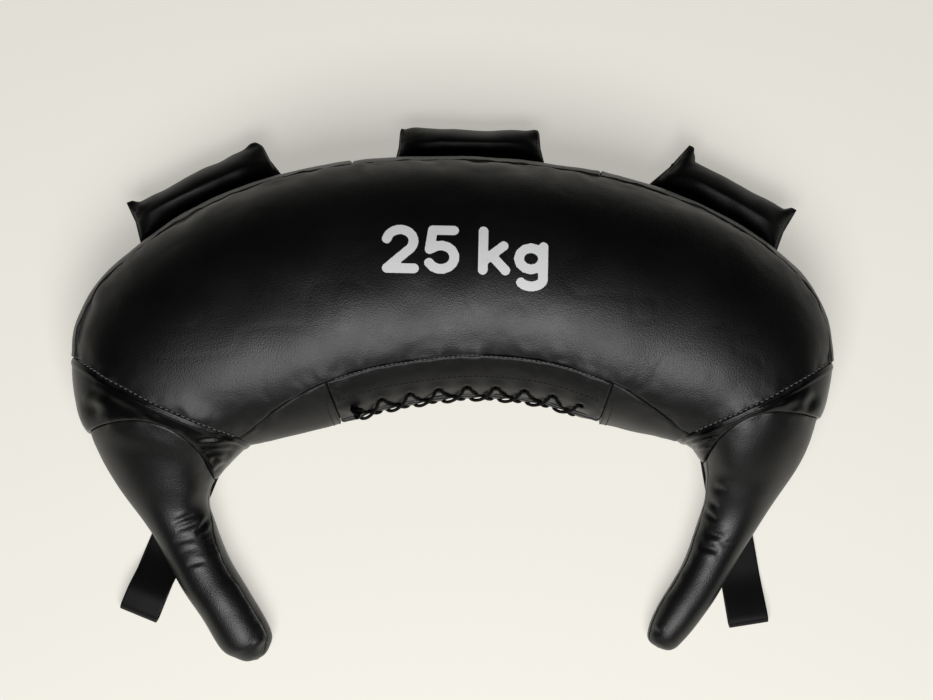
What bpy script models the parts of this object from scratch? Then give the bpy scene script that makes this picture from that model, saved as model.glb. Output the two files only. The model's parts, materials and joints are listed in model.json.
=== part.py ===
"""A bulgarian bag: a crescent of artificial leather filled with sand sacks, lying on its back.

X runs along the length, Y from the horn tips to the grips and Z up, with the origin at the
bottom centre. All lengths are metres. Each piece is one closed solid in its own object.
"""

import bmesh
import bpy
import numpy as np
from mathutils import Matrix

# Overall size of the lying bag
HALF_LENGTH = 0.361
HALF_DEPTH = 0.257
HALF_HEIGHT = 0.0875

# Material thicknesses and clearances
LEATHER = 0.002
SEAM_GAP = 0.0005
FIT_GAP = 0.0004
WEBBING = 0.0024
PLY_GAP = 0.0004
HORN_CLEARANCE = 0.0033
OVERRUN = 0.01

# Height that the horns are held above the floor by the doubled webbing under them
HORN_LIFT = 2 * WEBBING + PLY_GAP + HORN_CLEARANCE

# The plan outline from the left horn tip over the body to the right horn tip. Each row is a
# cross-section: outer edge x and y, inner edge x and y, half thickness, height of its underside.
# Lengths along X follow HALF_LENGTH, along Y HALF_DEPTH, thickness HALF_HEIGHT, lift HORN_LIFT.
SECTION_SHARES = np.array((
    (-0.518, -1.000, -0.518, -1.000, 0.000, 2.50),
    (-0.572, -0.995, -0.482, -0.940, 0.183, 0.82),
    (-0.614, -0.962, -0.485, -0.880, 0.262, 0.22),
    (-0.664, -0.850, -0.536, -0.760, 0.286, 0.47),
    (-0.726, -0.720, -0.592, -0.626, 0.300, 0.82),
    (-0.800, -0.525, -0.634, -0.470, 0.340, 1.05),
    (-0.884, -0.365, -0.634, -0.384, 0.440, 1.20),
    (-0.939, -0.244, -0.610, -0.319, 0.526, 1.35),
    (-0.972, -0.150, -0.582, -0.276, 0.617, 1.40),
    (-0.993, -0.036, -0.557, -0.244, 0.697, 1.20),
    (-1.000, 0.101, -0.535, -0.222, 0.771, 0.80),
    (-0.985, 0.257, -0.502, -0.208, 0.830, 0.25),
    (-0.903, 0.435, -0.450, -0.192, 0.891, -0.15),
    (-0.734, 0.621, -0.374, -0.168, 0.937, -0.35),
    (-0.506, 0.767, -0.281, -0.133, 0.979, -0.35),
    (-0.266, 0.834, -0.162, -0.082, 1.000, -0.35),
    (0.014, 0.849, 0.045, -0.042, 1.000, -0.35),
    (0.290, 0.818, 0.235, -0.066, 1.000, -0.35),
    (0.534, 0.736, 0.365, -0.126, 0.979, -0.35),
    (0.749, 0.606, 0.460, -0.160, 0.937, -0.35),
    (0.915, 0.420, 0.542, -0.188, 0.891, -0.15),
    (0.988, 0.248, 0.594, -0.207, 0.830, 0.25),
    (1.000, 0.094, 0.624, -0.226, 0.771, 0.80),
    (0.989, -0.032, 0.641, -0.256, 0.697, 1.20),
    (0.966, -0.140, 0.655, -0.299, 0.617, 1.40),
    (0.927, -0.256, 0.664, -0.352, 0.526, 1.35),
    (0.870, -0.385, 0.666, -0.410, 0.425, 1.20),
    (0.792, -0.548, 0.652, -0.486, 0.318, 1.05),
    (0.716, -0.730, 0.608, -0.655, 0.262, 0.82),
    (0.656, -0.858, 0.556, -0.780, 0.246, 0.47),
    (0.607, -0.936, 0.525, -0.870, 0.223, 0.24),
    (0.580, -0.957, 0.523, -0.916, 0.143, 0.92),
    (0.546, -0.956, 0.546, -0.956, 0.000, 2.30),
))

# A cross-section is rounder in front than at the back, which lies on the floor
FRONT_EXPONENT = 2.1
BACK_EXPONENT = 2.5

# Heights of the long seams above and below the widest line, in shares of the half thickness
OUTER_SEAM_SHARE = 0.43
INNER_SEAM_SHARE = 0.70
INNER_CORNER_SHARE = 0.42

# Cross-sections, by row number, where the panels end
LEFT_YOKE_ROW = 10.0
RIGHT_YOKE_ROW = 22.0
PLACKET_LEFT_ROW = 13.9
PLACKET_RIGHT_ROW = 18.25
JOIN_LEFT_ROW = 15.0
JOIN_RIGHT_ROW = 17.4
SEAM_TURN_ROWS = 4.0

# The yoke seams are arcs in plan that stretch with the bag, with their centres and half widths in
# shares of its sizes. The horn seams are circles about each horn's pivot, as large as the depth asks.
YOKE_ARC_LEFT_SHARES = (-0.188, 1.606)
YOKE_ARC_RIGHT_SHARES = (0.202, 1.601)
YOKE_ARC_REACH_SHARES = (1.342, 1.885)
HORN_ARC_SHARE = 0.30544747
HORN_PIVOT_LEFT_SHARES = (-0.822, -0.462)
HORN_PIVOT_RIGHT_SHARES = (0.841, -0.432)
HORN_RUNNING_GAP = 0.0010

# Cells around a ring: outer gusset, front, inner front, slit, inner back, back
RING_CELLS = (3, 8, 2, 1, 2, 8)

# Lacing
SLIT_HALF = 0.010
LACE_MIDDLE_ROW = 15.97
HOLE_COUNT = 9
HOLE_PITCH = 0.027
HOLE_RISE = 0.029
HOLE_RADIUS = 0.0046
HOLE_SIDES = 10
LACE_RADIUS = 0.0017
LACE_STAND_OFF = 0.0015
LACE_LAYER_GAP = 0.0007
LACE_SHIFT = 0.0021
TONGUE = 0.002
TONGUE_EASE = 0.0018

# Filling
WADDING = 0.010
WADDING_EASE = 0.003
PLACKET_EASE = 0.0035
SACK_COUNT = 4
SACK_SHOULDER = 0.008
SACK_END = 0.022
CORE_EASE = 0.0014
PAD_EASE = 0.0010
PAD_END = 0.015
PAD_START_SHARE = 0.6
PAD_LEAST_ROWS = 0.3

# Grips: a padded roll on a webbing strap that is sewn into the back seam of the outer gusset
GRIP_LENGTH = 0.140
GRIP_HALF_WIDTH = 0.0168
GRIP_END_HALF_WIDTH = 0.0184
GRIP_HALF_HEIGHT = 0.0170
GRIP_END_HALF_HEIGHT = 0.0062
GRIP_LEATHER = 0.0018
FOAM_EASE = 0.0010
GRIP_REACH = 0.0088
GRIP_AXIS_GAP = 0.0014
GRIP_EXPONENT = 2.2
STRAP_WIDTH = 0.028
STRAP_INSET = 0.008
STRAP_BAR = 0.020
GRIP_LEFT = (13.35, 24.5)
GRIP_CENTRE = (16.1, -0.4)
GRIP_RIGHT = (18.87, -30.0)

# Webbing loops behind the horns, each swinging on the line where it is sewn down
LOOP_WIDTH = 0.038
LOOP_REACH = 0.184
LOOP_SETTLE = 0.034
LOOP_STEM_LEFT = 0.112
LOOP_STEM_RIGHT = 0.130
LOOP_ROOT_LEFT_SHARES = (-0.64867, -0.17128)
LOOP_ROOT_RIGHT_SHARES = (0.71338, -0.16623)
LOOP_YAW_LEFT = 157.9
LOOP_YAW_RIGHT = 188.9
LOOP_EYE_LEFT = 0.013
LOOP_EYE_RIGHT = 0.010
LOOP_CLEARANCE = 0.0008
ANCHOR_LENGTH = 0.026
ANCHOR_RUNNING_GAP = 0.0004

SMOOTH_ANGLE = np.radians(40)


def clear_scene():
    for item in list(bpy.data.objects):
        bpy.data.objects.remove(item, do_unlink=True)


def material(name, colour, roughness):
    """A plain finish for one piece."""
    finish = bpy.data.materials.new(name)
    finish.use_nodes = True
    shader = finish.node_tree.nodes["Principled BSDF"]
    shader.inputs["Base Color"].default_value = (*colour, 1.0)
    shader.inputs["Roughness"].default_value = roughness
    return finish


def add_object(name, points, faces, finish, origin=(0, 0, 0), turn=0.0):
    """A closed mesh from local points, placed at origin and turned about Z by turn degrees."""
    mesh = bpy.data.meshes.new(name)
    mesh.from_pydata([tuple(p) for p in points], [], [tuple(int(i) for i in f) for f in faces])
    build = bmesh.new()
    build.from_mesh(mesh)
    bmesh.ops.recalc_face_normals(build, faces=build.faces[:])
    build.to_mesh(mesh)
    build.free()
    mesh.shade_smooth()
    mesh.set_sharp_from_angle(angle=SMOOTH_ANGLE)
    mesh.materials.append(finish)
    piece = bpy.data.objects.new(name, mesh)
    piece.matrix_world = Matrix.Translation(origin) @ Matrix.Rotation(np.radians(turn), 4, "Z")
    bpy.context.scene.collection.objects.link(piece)
    return piece


# The bag's surface

def sections(row):
    """Catmull-Rom values of the cross-section table at fractional row numbers."""
    last = len(SECTION_SHARES) - 1
    row = np.clip(np.asarray(row, dtype=float), 0, last)
    start = np.minimum(row.astype(int), last - 1)
    t = (row - start)[..., None]
    p0, p1, p2, p3 = (SECTION_SHARES[np.clip(start + k, 0, last)] for k in (-1, 0, 1, 2))
    return (p1 + 0.5 * t * (p2 - p0 + t * (2 * p0 - 5 * p1 + 4 * p2 - p3
            + t * (3 * (p1 - p2) + p3 - p0))))


def half_height(row):
    return sections(row)[..., 4] * HALF_HEIGHT


def signed_power(value, power):
    return np.sign(value) * np.abs(value) ** power


def surface(row, angle, depth=0.0):
    """A point of the skin, or depth under it. Angle 0 is the outer edge, a quarter turn the front."""
    row, angle, depth = np.broadcast_arrays(
        np.asarray(row, dtype=float), np.asarray(angle, dtype=float), np.asarray(depth, dtype=float))
    share = sections(row)
    plan = np.array((HALF_LENGTH, HALF_DEPTH))
    outer, inner = share[..., 0:2] * plan, share[..., 2:4] * plan
    middle, arm = (outer + inner) / 2, (outer - inner) / 2
    half = np.maximum(np.linalg.norm(arm, axis=-1), 1e-9)
    height = share[..., 4] * HALF_HEIGHT
    exponent = np.where(np.sin(angle) >= 0, FRONT_EXPONENT, BACK_EXPONENT)
    across = signed_power(np.cos(angle), 2 / exponent) * np.maximum(half - depth, 0) / half
    rise = signed_power(np.sin(angle), 2 / exponent) * np.maximum(height - depth, 0)
    z = np.maximum(share[..., 5] * HORN_LIFT + height + rise, depth)
    return np.concatenate((middle + arm * across[..., None], z[..., None]), axis=-1)


def rise_angle(share, exponent):
    """The angle at which a cross-section stands at this share of its half thickness."""
    return np.arcsin(np.clip(share, 0, 0.98) ** (exponent / 2))


def inner_seam_share(row):
    """The inner seams come together towards the corners between the body and the horns."""
    from_corner = np.minimum(row - LEFT_YOKE_ROW, RIGHT_YOKE_ROW - row) / SEAM_TURN_ROWS
    turn = np.clip(from_corner, 0, 1)
    turn = turn * turn * (3 - 2 * turn)
    return INNER_CORNER_SHARE + (INNER_SEAM_SHARE - INNER_CORNER_SHARE) * turn


def even_angles(row, start, stop, cells):
    """Angles from start up to stop that part the skin into strips of even width."""
    fine = np.linspace(start, stop, 81)
    step = np.linalg.norm(np.diff(surface(row, fine), axis=0), axis=1)
    run = np.concatenate(((0,), np.cumsum(step)))
    return np.interp(np.linspace(0, run[-1], cells, endpoint=False), run, fine)


def ring_angles(row):
    """The angles of one ring's grid lines, starting at the outer back seam and going over the front."""
    inner = inner_seam_share(row)
    slit = SLIT_HALF / half_height(row)
    stops = (-rise_angle(OUTER_SEAM_SHARE, BACK_EXPONENT),
             rise_angle(OUTER_SEAM_SHARE, FRONT_EXPONENT),
             np.pi - rise_angle(inner, FRONT_EXPONENT),
             np.pi - rise_angle(slit, FRONT_EXPONENT),
             np.pi + rise_angle(slit, BACK_EXPONENT),
             np.pi + rise_angle(inner, BACK_EXPONENT),
             2 * np.pi - rise_angle(OUTER_SEAM_SHARE, BACK_EXPONENT))
    runs = [even_angles(row, *run) for run in zip(stops[:-1], stops[1:], RING_CELLS)]
    return np.concatenate((*runs, stops[-1:]))


RING_STOPS = np.concatenate(((0,), np.cumsum(RING_CELLS)))
GUSSET_LINES = slice(RING_STOPS[0], RING_STOPS[1] + 1)
FRONT_LINES = slice(RING_STOPS[1], RING_STOPS[2] + 1)
PLACKET_FRONT_LINES = slice(RING_STOPS[2], RING_STOPS[3] + 1)
TONGUE_LINES = slice(RING_STOPS[2] + 1, RING_STOPS[5])
PLACKET_BACK_LINES = slice(RING_STOPS[4], RING_STOPS[5] + 1)
INNER_LINES = slice(RING_STOPS[2], RING_STOPS[5] + 1)
BACK_LINES = slice(RING_STOPS[5], RING_STOPS[6] + 1)


def plan_point(shares):
    return np.array(shares) * (HALF_LENGTH, HALF_DEPTH)


def arc_distance(points, centre, reach):
    """How far points lie outside an arc in plan, in shares of its reach along X and Y."""
    return np.linalg.norm((points[..., 0:2] - centre) / reach, axis=-1) - 1


def arc_rows(centre, reach, angles, depth, start, stop):
    """The row at which each grid line crosses an arc in plan, looking from start to stop."""
    rows = np.linspace(start, stop, 241)
    away = arc_distance(surface(rows[:, None], angles[None, :], depth), centre, reach)
    first = np.argmax(np.sign(away[:-1]) != np.sign(away[1:]), axis=0)
    lines = np.arange(len(angles))
    before, after = away[first, lines], away[first + 1, lines]
    return rows[first] + (rows[first + 1] - rows[first]) * before / (before - after)


# Each side's yoke row, horn tip row and plan circles
SIDES = {
    "left": (LEFT_YOKE_ROW, 0.0, YOKE_ARC_LEFT_SHARES, HORN_PIVOT_LEFT_SHARES),
    "right": (RIGHT_YOKE_ROW, len(SECTION_SHARES) - 1.0, YOKE_ARC_RIGHT_SHARES,
              HORN_PIVOT_RIGHT_SHARES),
}


def yoke_rows(side):
    row, tip, arc, pivot = SIDES[side]
    inward = np.sign(row - tip)
    return arc_rows(plan_point(arc), plan_point(YOKE_ARC_REACH_SHARES), ring_angles(row), 0.0,
                    row - 2.5 * inward, row + 2.5 * inward)


def horn_rows(side, depth, outside):
    """Rows where the grid lines meet the horn seam, outside it or inside it by a distance."""
    row, tip, arc, pivot = SIDES[side]
    inward = np.sign(row - tip)
    return arc_rows(plan_point(pivot), HORN_ARC_SHARE * HALF_DEPTH + outside, ring_angles(row), depth,
                    row - 5.2 * inward, row + 1.5 * inward)


def body_grid():
    """Rows and angles of the body's grid, from yoke seam to yoke seam."""
    base = np.concatenate((
        np.linspace(LEFT_YOKE_ROW, PLACKET_LEFT_ROW, 9),
        np.linspace(PLACKET_LEFT_ROW, JOIN_LEFT_ROW, 3)[1:],
        np.linspace(JOIN_LEFT_ROW, JOIN_RIGHT_ROW, 5)[1:],
        np.linspace(JOIN_RIGHT_ROW, PLACKET_RIGHT_ROW, 3)[1:],
        np.linspace(PLACKET_RIGHT_ROW, RIGHT_YOKE_ROW, 9)[1:]))
    angles = np.stack([ring_angles(row) for row in base])
    left = np.clip(1 - (base - LEFT_YOKE_ROW) / SEAM_TURN_ROWS, 0, 1)[:, None]
    right = np.clip(1 - (RIGHT_YOKE_ROW - base) / SEAM_TURN_ROWS, 0, 1)[:, None]
    rows = (base[:, None] + left * (yoke_rows("left") - LEFT_YOKE_ROW)
            + right * (yoke_rows("right") - RIGHT_YOKE_ROW))
    return rows, angles


BODY_ROWS, BODY_ANGLES = body_grid()
PLACKET_COLUMNS = slice(8, 17)
LEFT_COLUMNS = slice(0, 9)
RIGHT_COLUMNS = slice(16, 25)
GUSSET_COLUMNS = {"left": slice(0, 11), "centre": slice(10, 15), "right": slice(14, 25)}
ALL_COLUMNS = slice(0, 25)


# Closed shells from grids of points

def drawn_back(grid, distance):
    """Moves a grid's four borders inwards along the surface."""
    grid = grid.copy()
    for axis in (0, 1):
        lines = np.moveaxis(grid, axis, 0)
        for edge, inside in ((0, 1), (-1, -2)):
            step = lines[inside] - lines[edge]
            lines[edge] += step / np.linalg.norm(step, axis=-1, keepdims=True) * distance
    return grid


def grid_triangles(number, flip=False):
    """Two triangles for each cell of a grid of point numbers."""
    a, b = number[:-1, :-1].ravel(), number[1:, :-1].ravel()
    c, d = number[1:, 1:].ravel(), number[:-1, 1:].ravel()
    faces = np.concatenate((np.stack((a, b, c), 1), np.stack((a, c, d), 1)))
    return faces[:, ::-1] if flip else faces


def strip(first, second):
    """Quads between two lines of point numbers of the same length."""
    return np.stack((first[:-1], first[1:], second[1:], second[:-1]), 1)


def border(number):
    """A grid's outer numbers in order, back to the start."""
    return np.concatenate((number[:-1, 0], number[-1, :-1], number[:0:-1, -1], number[0, ::-1]))


def numbers(shape, start=0):
    return np.arange(start, start + shape[0] * shape[1]).reshape(shape)


def patch(name, outer, inner, finish, origin=(0, 0, 0)):
    """A sheet with four borders: two grids joined along their borders."""
    shape = outer.shape[:2]
    top, under = numbers(shape), numbers(shape, shape[0] * shape[1])
    faces = [*grid_triangles(top), *grid_triangles(under, flip=True),
             *strip(border(top), border(under))]
    points = np.concatenate((outer.reshape(-1, 3), inner.reshape(-1, 3))) - np.array(origin)
    return add_object(name, points, faces, finish, origin)


def closed(number):
    """Adds the first column again after the last, so that a ring of numbers closes."""
    return np.concatenate((number, number[:, :1]), axis=1)


def sleeve(name, outer, inner, finish, origin=(0, 0, 0)):
    """A tube open at both ends, from rings of points."""
    shape = outer.shape[:2]
    top, under = closed(numbers(shape)), closed(numbers(shape, shape[0] * shape[1]))
    faces = [*grid_triangles(top), *grid_triangles(under, flip=True),
             *strip(top[0], under[0]), *strip(under[-1], top[-1])]
    points = np.concatenate((outer.reshape(-1, 3), inner.reshape(-1, 3))) - np.array(origin)
    return add_object(name, points, faces, finish, origin)


def fan(line, centre, flip=False):
    faces = np.stack((line[:-1], line[1:], np.full(len(line) - 1, centre)), 1)
    return faces[:, ::-1] if flip else faces


def cup(name, outer, inner, outer_pole, inner_pole, finish, origin):
    """A tube open at its first ring and closed over at its last one."""
    shape = outer.shape[:2]
    count = shape[0] * shape[1]
    top, under = closed(numbers(shape)), closed(numbers(shape, count))
    faces = [*grid_triangles(top), *fan(top[-1], 2 * count), *strip(top[0], under[0]),
             *grid_triangles(under, flip=True), *fan(under[-1], 2 * count + 1, flip=True)]
    points = np.concatenate((outer.reshape(-1, 3), inner.reshape(-1, 3), [outer_pole, inner_pole]))
    return add_object(name, points - np.array(origin), faces, finish, origin)


def plug(name, rings, first_pole, last_pole, finish, origin=(0, 0, 0)):
    """A solid stuffing piece from rings of points, closed at both ends."""
    shape = rings.shape[:2]
    count = shape[0] * shape[1]
    top = closed(numbers(shape))
    faces = [*grid_triangles(top), *fan(top[0], count, flip=True), *fan(top[-1], count + 1)]
    points = np.concatenate((rings.reshape(-1, 3), [first_pole, last_pole])) - np.array(origin)
    return add_object(name, points, faces, finish, origin)


# Body panels

def body_patch(name, columns, lines, finish, depth=0.0, thickness=LEATHER, gap=SEAM_GAP / 2):
    rows, angles = BODY_ROWS[columns, lines], BODY_ANGLES[columns, lines]
    outer = drawn_back(surface(rows, angles, depth), gap)
    inner = drawn_back(surface(rows, angles, depth + thickness), gap)
    return patch(name, outer, inner, finish)


def body_panels():
    skin = material("panel_leather", (0.014, 0.014, 0.015), 0.42)
    strip_skin = material("gusset_leather", (0.020, 0.020, 0.021), 0.45)
    body_patch("front_panel", ALL_COLUMNS, FRONT_LINES, skin)
    body_patch("back_panel", ALL_COLUMNS, BACK_LINES, skin)
    for side, columns in GUSSET_COLUMNS.items():
        body_patch("outer_gusset_" + side, columns, GUSSET_LINES, strip_skin)
    body_patch("inner_gusset_left", LEFT_COLUMNS, INNER_LINES, strip_skin)
    body_patch("inner_gusset_right", RIGHT_COLUMNS, INNER_LINES, strip_skin)


# Lacing

def side_angle(row, rise):
    """The angle at which the inner side stands this far above or below its widest line."""
    share = np.abs(rise) / half_height(row)
    exponent = np.where(rise >= 0, FRONT_EXPONENT, BACK_EXPONENT)
    return np.pi - np.sign(rise) * rise_angle(share, exponent)


def lace_rows(positions):
    """Rows at distances along the row of holes, measured from the middle hole."""
    rows = np.linspace(PLACKET_LEFT_ROW - 1, PLACKET_RIGHT_ROW + 1, 400)
    points = surface(rows, side_angle(rows, HOLE_RISE))
    length = np.concatenate(((0,), np.cumsum(np.linalg.norm(np.diff(points, axis=0), axis=1))))
    middle = np.interp(LACE_MIDDLE_ROW, rows, length)
    return np.interp(middle + np.asarray(positions), length, rows)


def hole_position(index):
    return (index - (HOLE_COUNT - 1) / 2) * HOLE_PITCH


def hole_cutter(rise):
    """One object with a round cutter through each hole of a placket."""
    ring = np.linspace(0, 2 * np.pi, HOLE_SIDES, endpoint=False)
    points, faces = [], []
    for index in range(HOLE_COUNT):
        row = lace_rows(hole_position(index))
        angle = side_angle(row, rise)
        centre = surface(row, angle)
        along = surface(row + 0.01, angle) - surface(row - 0.01, angle)
        up = surface(row, angle - 0.01) - surface(row, angle + 0.01)
        along, up = (axis / np.linalg.norm(axis) for axis in (along, up))
        out = np.cross(along, up)
        circle = HOLE_RADIUS * (np.cos(ring)[:, None] * along + np.sin(ring)[:, None] * up)
        start = len(points)
        points += [*(centre + circle - OVERRUN * out), *(centre + circle + OVERRUN * out)]
        low, high = start + np.arange(HOLE_SIDES), start + HOLE_SIDES + np.arange(HOLE_SIDES)
        faces += [low[::-1], high, *strip(np.append(low, low[0]), np.append(high, high[0]))]
    cutter = add_object("hole_cutter", points, faces, material("cutter", (1, 1, 1), 0.5))
    cutter.hide_render = True
    cutter.display_type = "WIRE"
    return cutter


def plackets():
    skin = material("placket_leather", (0.024, 0.024, 0.025), 0.4)
    for name, lines, rise in (("lace_placket_front", PLACKET_FRONT_LINES, HOLE_RISE),
                              ("lace_placket_back", PLACKET_BACK_LINES, -HOLE_RISE)):
        placket = body_patch(name, PLACKET_COLUMNS, lines, skin)
        cut = placket.modifiers.new("holes", "BOOLEAN")
        cut.operation = "DIFFERENCE"
        cut.object = hole_cutter(rise)


LACE_DIAMETER = 2 * LACE_RADIUS
LACE_LAYER = LACE_DIAMETER + LACE_LAYER_GAP
LACE_OUTSIDE = LACE_RADIUS + LACE_STAND_OFF
LACE_INSIDE = LEATHER + LACE_RADIUS + LACE_LAYER_GAP
TONGUE_DEPTH = LACE_INSIDE + LACE_LAYER + LACE_RADIUS + TONGUE_EASE


def lace_point(position, rise, depth):
    row = lace_rows(position)
    return surface(row, side_angle(row, rise), depth)


def lace_route():
    """One lace: zigzag outside to the right end, back again over itself, and straight across
    inside behind each pair of holes. The way back lies one layer further out and further in."""
    forward = (-LACE_OUTSIDE, LACE_INSIDE)
    back = (-LACE_OUTSIDE - LACE_LAYER, LACE_INSIDE + LACE_LAYER)
    last = HOLE_COUNT - 1
    points = [lace_point(hole_position(0) + LACE_SHIFT, HOLE_RISE, forward[1])]

    def leg(start, stop, shift, layer):
        """Out of a front hole, over the slit to a back hole and in, then across inside."""
        first, second = hole_position(start) + shift, hole_position(stop) - shift
        for part in (0, 0.25, 0.5, 0.75, 1):
            place = first * (1 - part) + second * part
            points.append(lace_point(place, HOLE_RISE * (1 - 2 * part), layer[0]))
        points.append(lace_point(second, -HOLE_RISE, layer[1]))

    def across(index, shift, layer):
        """Straight across behind the slit to the front hole of the same pair."""
        for way in (-0.5, 0, 0.5, 1):
            points.append(lace_point(hole_position(index) + shift * way, HOLE_RISE * way, layer[1]))

    for index in range(last):
        leg(index, index + 1, LACE_SHIFT, forward)
        across(index + 1, LACE_SHIFT if index + 1 < last else -LACE_SHIFT,
               forward if index + 1 < last else back)
    for index in range(last, 0, -1):
        leg(index, index - 1, -LACE_SHIFT, back)
        if index > 1:
            across(index - 1, -LACE_SHIFT, back)
    return np.array(points)


def least_self_gap(route):
    """The least clear distance between parts of the lace that are not next to each other."""
    samples = np.concatenate([a + (b - a) * np.linspace(0, 1, 12, endpoint=False)[:, None]
                              for a, b in zip(route[:-1], route[1:])])
    run = np.concatenate(((0,), np.cumsum(np.linalg.norm(np.diff(samples, axis=0), axis=1))))
    apart = np.linalg.norm(samples[:, None] - samples[None, :], axis=-1)
    apart[np.abs(run[:, None] - run[None, :]) < 2.2 * LACE_DIAMETER] = np.inf
    return apart.min() - LACE_DIAMETER, run[-1]


def lace():
    """The whole lace as one round tube."""
    route = lace_route()
    gap, length = least_self_gap(route)
    print(f"lace: least gap to itself {gap * 1000:.2f} mm, length {length:.3f} m")
    curve = bpy.data.curves.new("lace", "CURVE")
    curve.dimensions = "3D"
    curve.bevel_depth = LACE_RADIUS
    curve.bevel_resolution = 2
    curve.use_fill_caps = True
    curve.render_resolution_u = 0
    line = curve.splines.new("POLY")
    line.points.add(len(route) - 1)
    line.points.foreach_set("co", np.column_stack((route, np.ones(len(route)))).ravel())
    curve.materials.append(material("lace_cord", (0.010, 0.010, 0.011), 0.7))
    bpy.context.scene.collection.objects.link(bpy.data.objects.new("lace", curve))


def tongue():
    body_patch("lace_tongue", PLACKET_COLUMNS, TONGUE_LINES,
               material("tongue_leather", (0.018, 0.018, 0.019), 0.5),
               depth=TONGUE_DEPTH, thickness=TONGUE, gap=FIT_GAP)


# Filling

def coarse(grid):
    """Every second column and line of the body's grid, without the repeated last line."""
    return grid[::2, :-1:2]


def wadding_depth():
    """Depth of the wadding's outside: deeper behind the lacing."""
    depth = np.full(coarse(BODY_ROWS).shape, LEATHER + WADDING_EASE)
    columns, lines = slice(4, 9), slice(6, 9)
    depth[columns, lines] = TONGUE_DEPTH + TONGUE + PLACKET_EASE
    return depth


def wadding():
    rows, angles, depth = coarse(BODY_ROWS), coarse(BODY_ANGLES), wadding_depth()
    sleeve("wadding_liner", surface(rows, angles, depth), surface(rows, angles, depth + WADDING),
           material("wadding_felt", (0.35, 0.34, 0.32), 0.95))


def sand_sacks():
    """Four sacks end to end in the wadding, each with drawn-in ends."""
    rows, angles = coarse(BODY_ROWS), coarse(BODY_ANGLES)
    depth = wadding_depth() + WADDING + FIT_GAP
    cells = (len(rows) - 1) // SACK_COUNT
    canvas = material("sack_canvas", (0.42, 0.38, 0.30), 0.9)
    for index in range(SACK_COUNT):
        first = index * cells
        places = np.array((0.06, 0.2, *range(1, cells), cells - 0.2, cells - 0.06))
        extra = np.zeros(len(places))
        extra[[0, -1]] = SACK_END
        extra[[1, -2]] = SACK_SHOULDER
        low = np.minimum(first + places.astype(int), len(rows) - 2)
        part = (first + places - low)[:, None]
        mix = [grid[low] * (1 - part) + grid[low + 1] * part for grid in (rows, angles, depth)]
        rings = surface(mix[0], mix[1], mix[2] + extra[:, None])
        plug(f"sand_sack_{index + 1}", rings, rings[0].mean(axis=0), rings[-1].mean(axis=0), canvas)


# Yokes and horns

def yoke_grid(side, depth, end_gap, least_rows=0.0):
    """Rings from the yoke seam to the horn seam, or at least some rows long at every line."""
    row, tip = SIDES[side][:2]
    inward = np.sign(row - tip)
    angles = ring_angles(row)[:-1]
    start = yoke_rows(side)[:-1]
    stop = start - inward * np.maximum(
        (start - horn_rows(side, depth, end_gap)[:-1]) * inward, least_rows)
    part = np.linspace(0, 1, 5)[:, None]
    return surface(start * (1 - part) + stop * part, angles, depth)


def drawn_in_ring(rings, distance):
    """Moves the first ring along the surface, away from the seam."""
    rings = rings.copy()
    step = rings[1] - rings[0]
    rings[0] += step / np.linalg.norm(step, axis=-1, keepdims=True) * distance
    return rings


def yoke(side):
    outer = drawn_in_ring(yoke_grid(side, 0.0, HORN_RUNNING_GAP), SEAM_GAP / 2)
    inner = drawn_in_ring(yoke_grid(side, LEATHER, HORN_RUNNING_GAP), SEAM_GAP / 2)
    sleeve("yoke_" + side, outer, inner, material("yoke_leather_" + side, (0.03, 0.03, 0.031), 0.25))


def end_pad(side):
    """Wadding that fills the yoke up to the horn."""
    rings = yoke_grid(side, LEATHER + PAD_EASE, PAD_END, PAD_LEAST_ROWS)
    rings[0] += (rings[1] - rings[0]) * PAD_START_SHARE
    plug("end_pad_" + side, rings, rings[0].mean(axis=0), rings[-1].mean(axis=0),
         material("pad_felt_" + side, (0.33, 0.32, 0.30), 0.95))


HORN_STEPS = (5.0, 4.3, 3.6, 2.9, 2.2, 1.5, 1.0, 0.55, 0.25)
CORE_STEPS = (5.0, 4.3, 3.6, 2.9, 2.2, 1.5, 0.8)
HORN_TURNS = (0.0, 0.33, 0.67, 1.0)
HORN_NECK_STEP = 5.7
TIP_WALL_STEP = 0.14


def horn_ring_rows(side, depth, inside, turns, steps):
    """Rows of the horn's rings: the first on the seam's circle, the rest square to the horn."""
    row, tip = SIDES[side][:2]
    inward = np.sign(row - tip)
    seam = horn_rows(side, depth, -inside)[:-1]
    neck = tip + inward * HORN_NECK_STEP
    first = [seam * (1 - turn) + neck * turn for turn in turns]
    rest = [np.full(len(seam), tip + inward * step) for step in steps]
    return np.array(first + rest)


def pivot_point(side):
    return np.append(plan_point(SIDES[side][3]), 0.0)


def centre_point(row):
    """The middle of a cross-section."""
    front, back = surface(row, np.pi / 2), surface(row, -np.pi / 2)
    return (front + back) / 2


def horn(side):
    """The cover of one horn and the wadding core inside it, on the horn's own pivot."""
    row, tip = SIDES[side][:2]
    inward = np.sign(row - tip)
    angles = ring_angles(row)[:-1]
    outer = surface(horn_ring_rows(side, 0.0, 0.0, HORN_TURNS, HORN_STEPS), angles)
    inner = surface(horn_ring_rows(side, LEATHER, 0.0, HORN_TURNS, HORN_STEPS), angles, LEATHER)
    cup("horn_cover_" + side, outer, inner, surface(tip, 0.0), centre_point(tip + inward * TIP_WALL_STEP),
        material("horn_leather_" + side, (0.02, 0.02, 0.021), 0.32), pivot_point(side))
    depth = LEATHER + CORE_EASE
    core_rows = horn_ring_rows(side, depth, FIT_GAP, HORN_TURNS, CORE_STEPS)
    core = surface(core_rows[:, ::2], angles[::2], depth)
    plug("horn_core_" + side, core, core[0].mean(axis=0), centre_point(tip + inward * 0.5),
         material("core_felt_" + side, (0.34, 0.33, 0.31), 0.95), pivot_point(side))


# Grips

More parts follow.
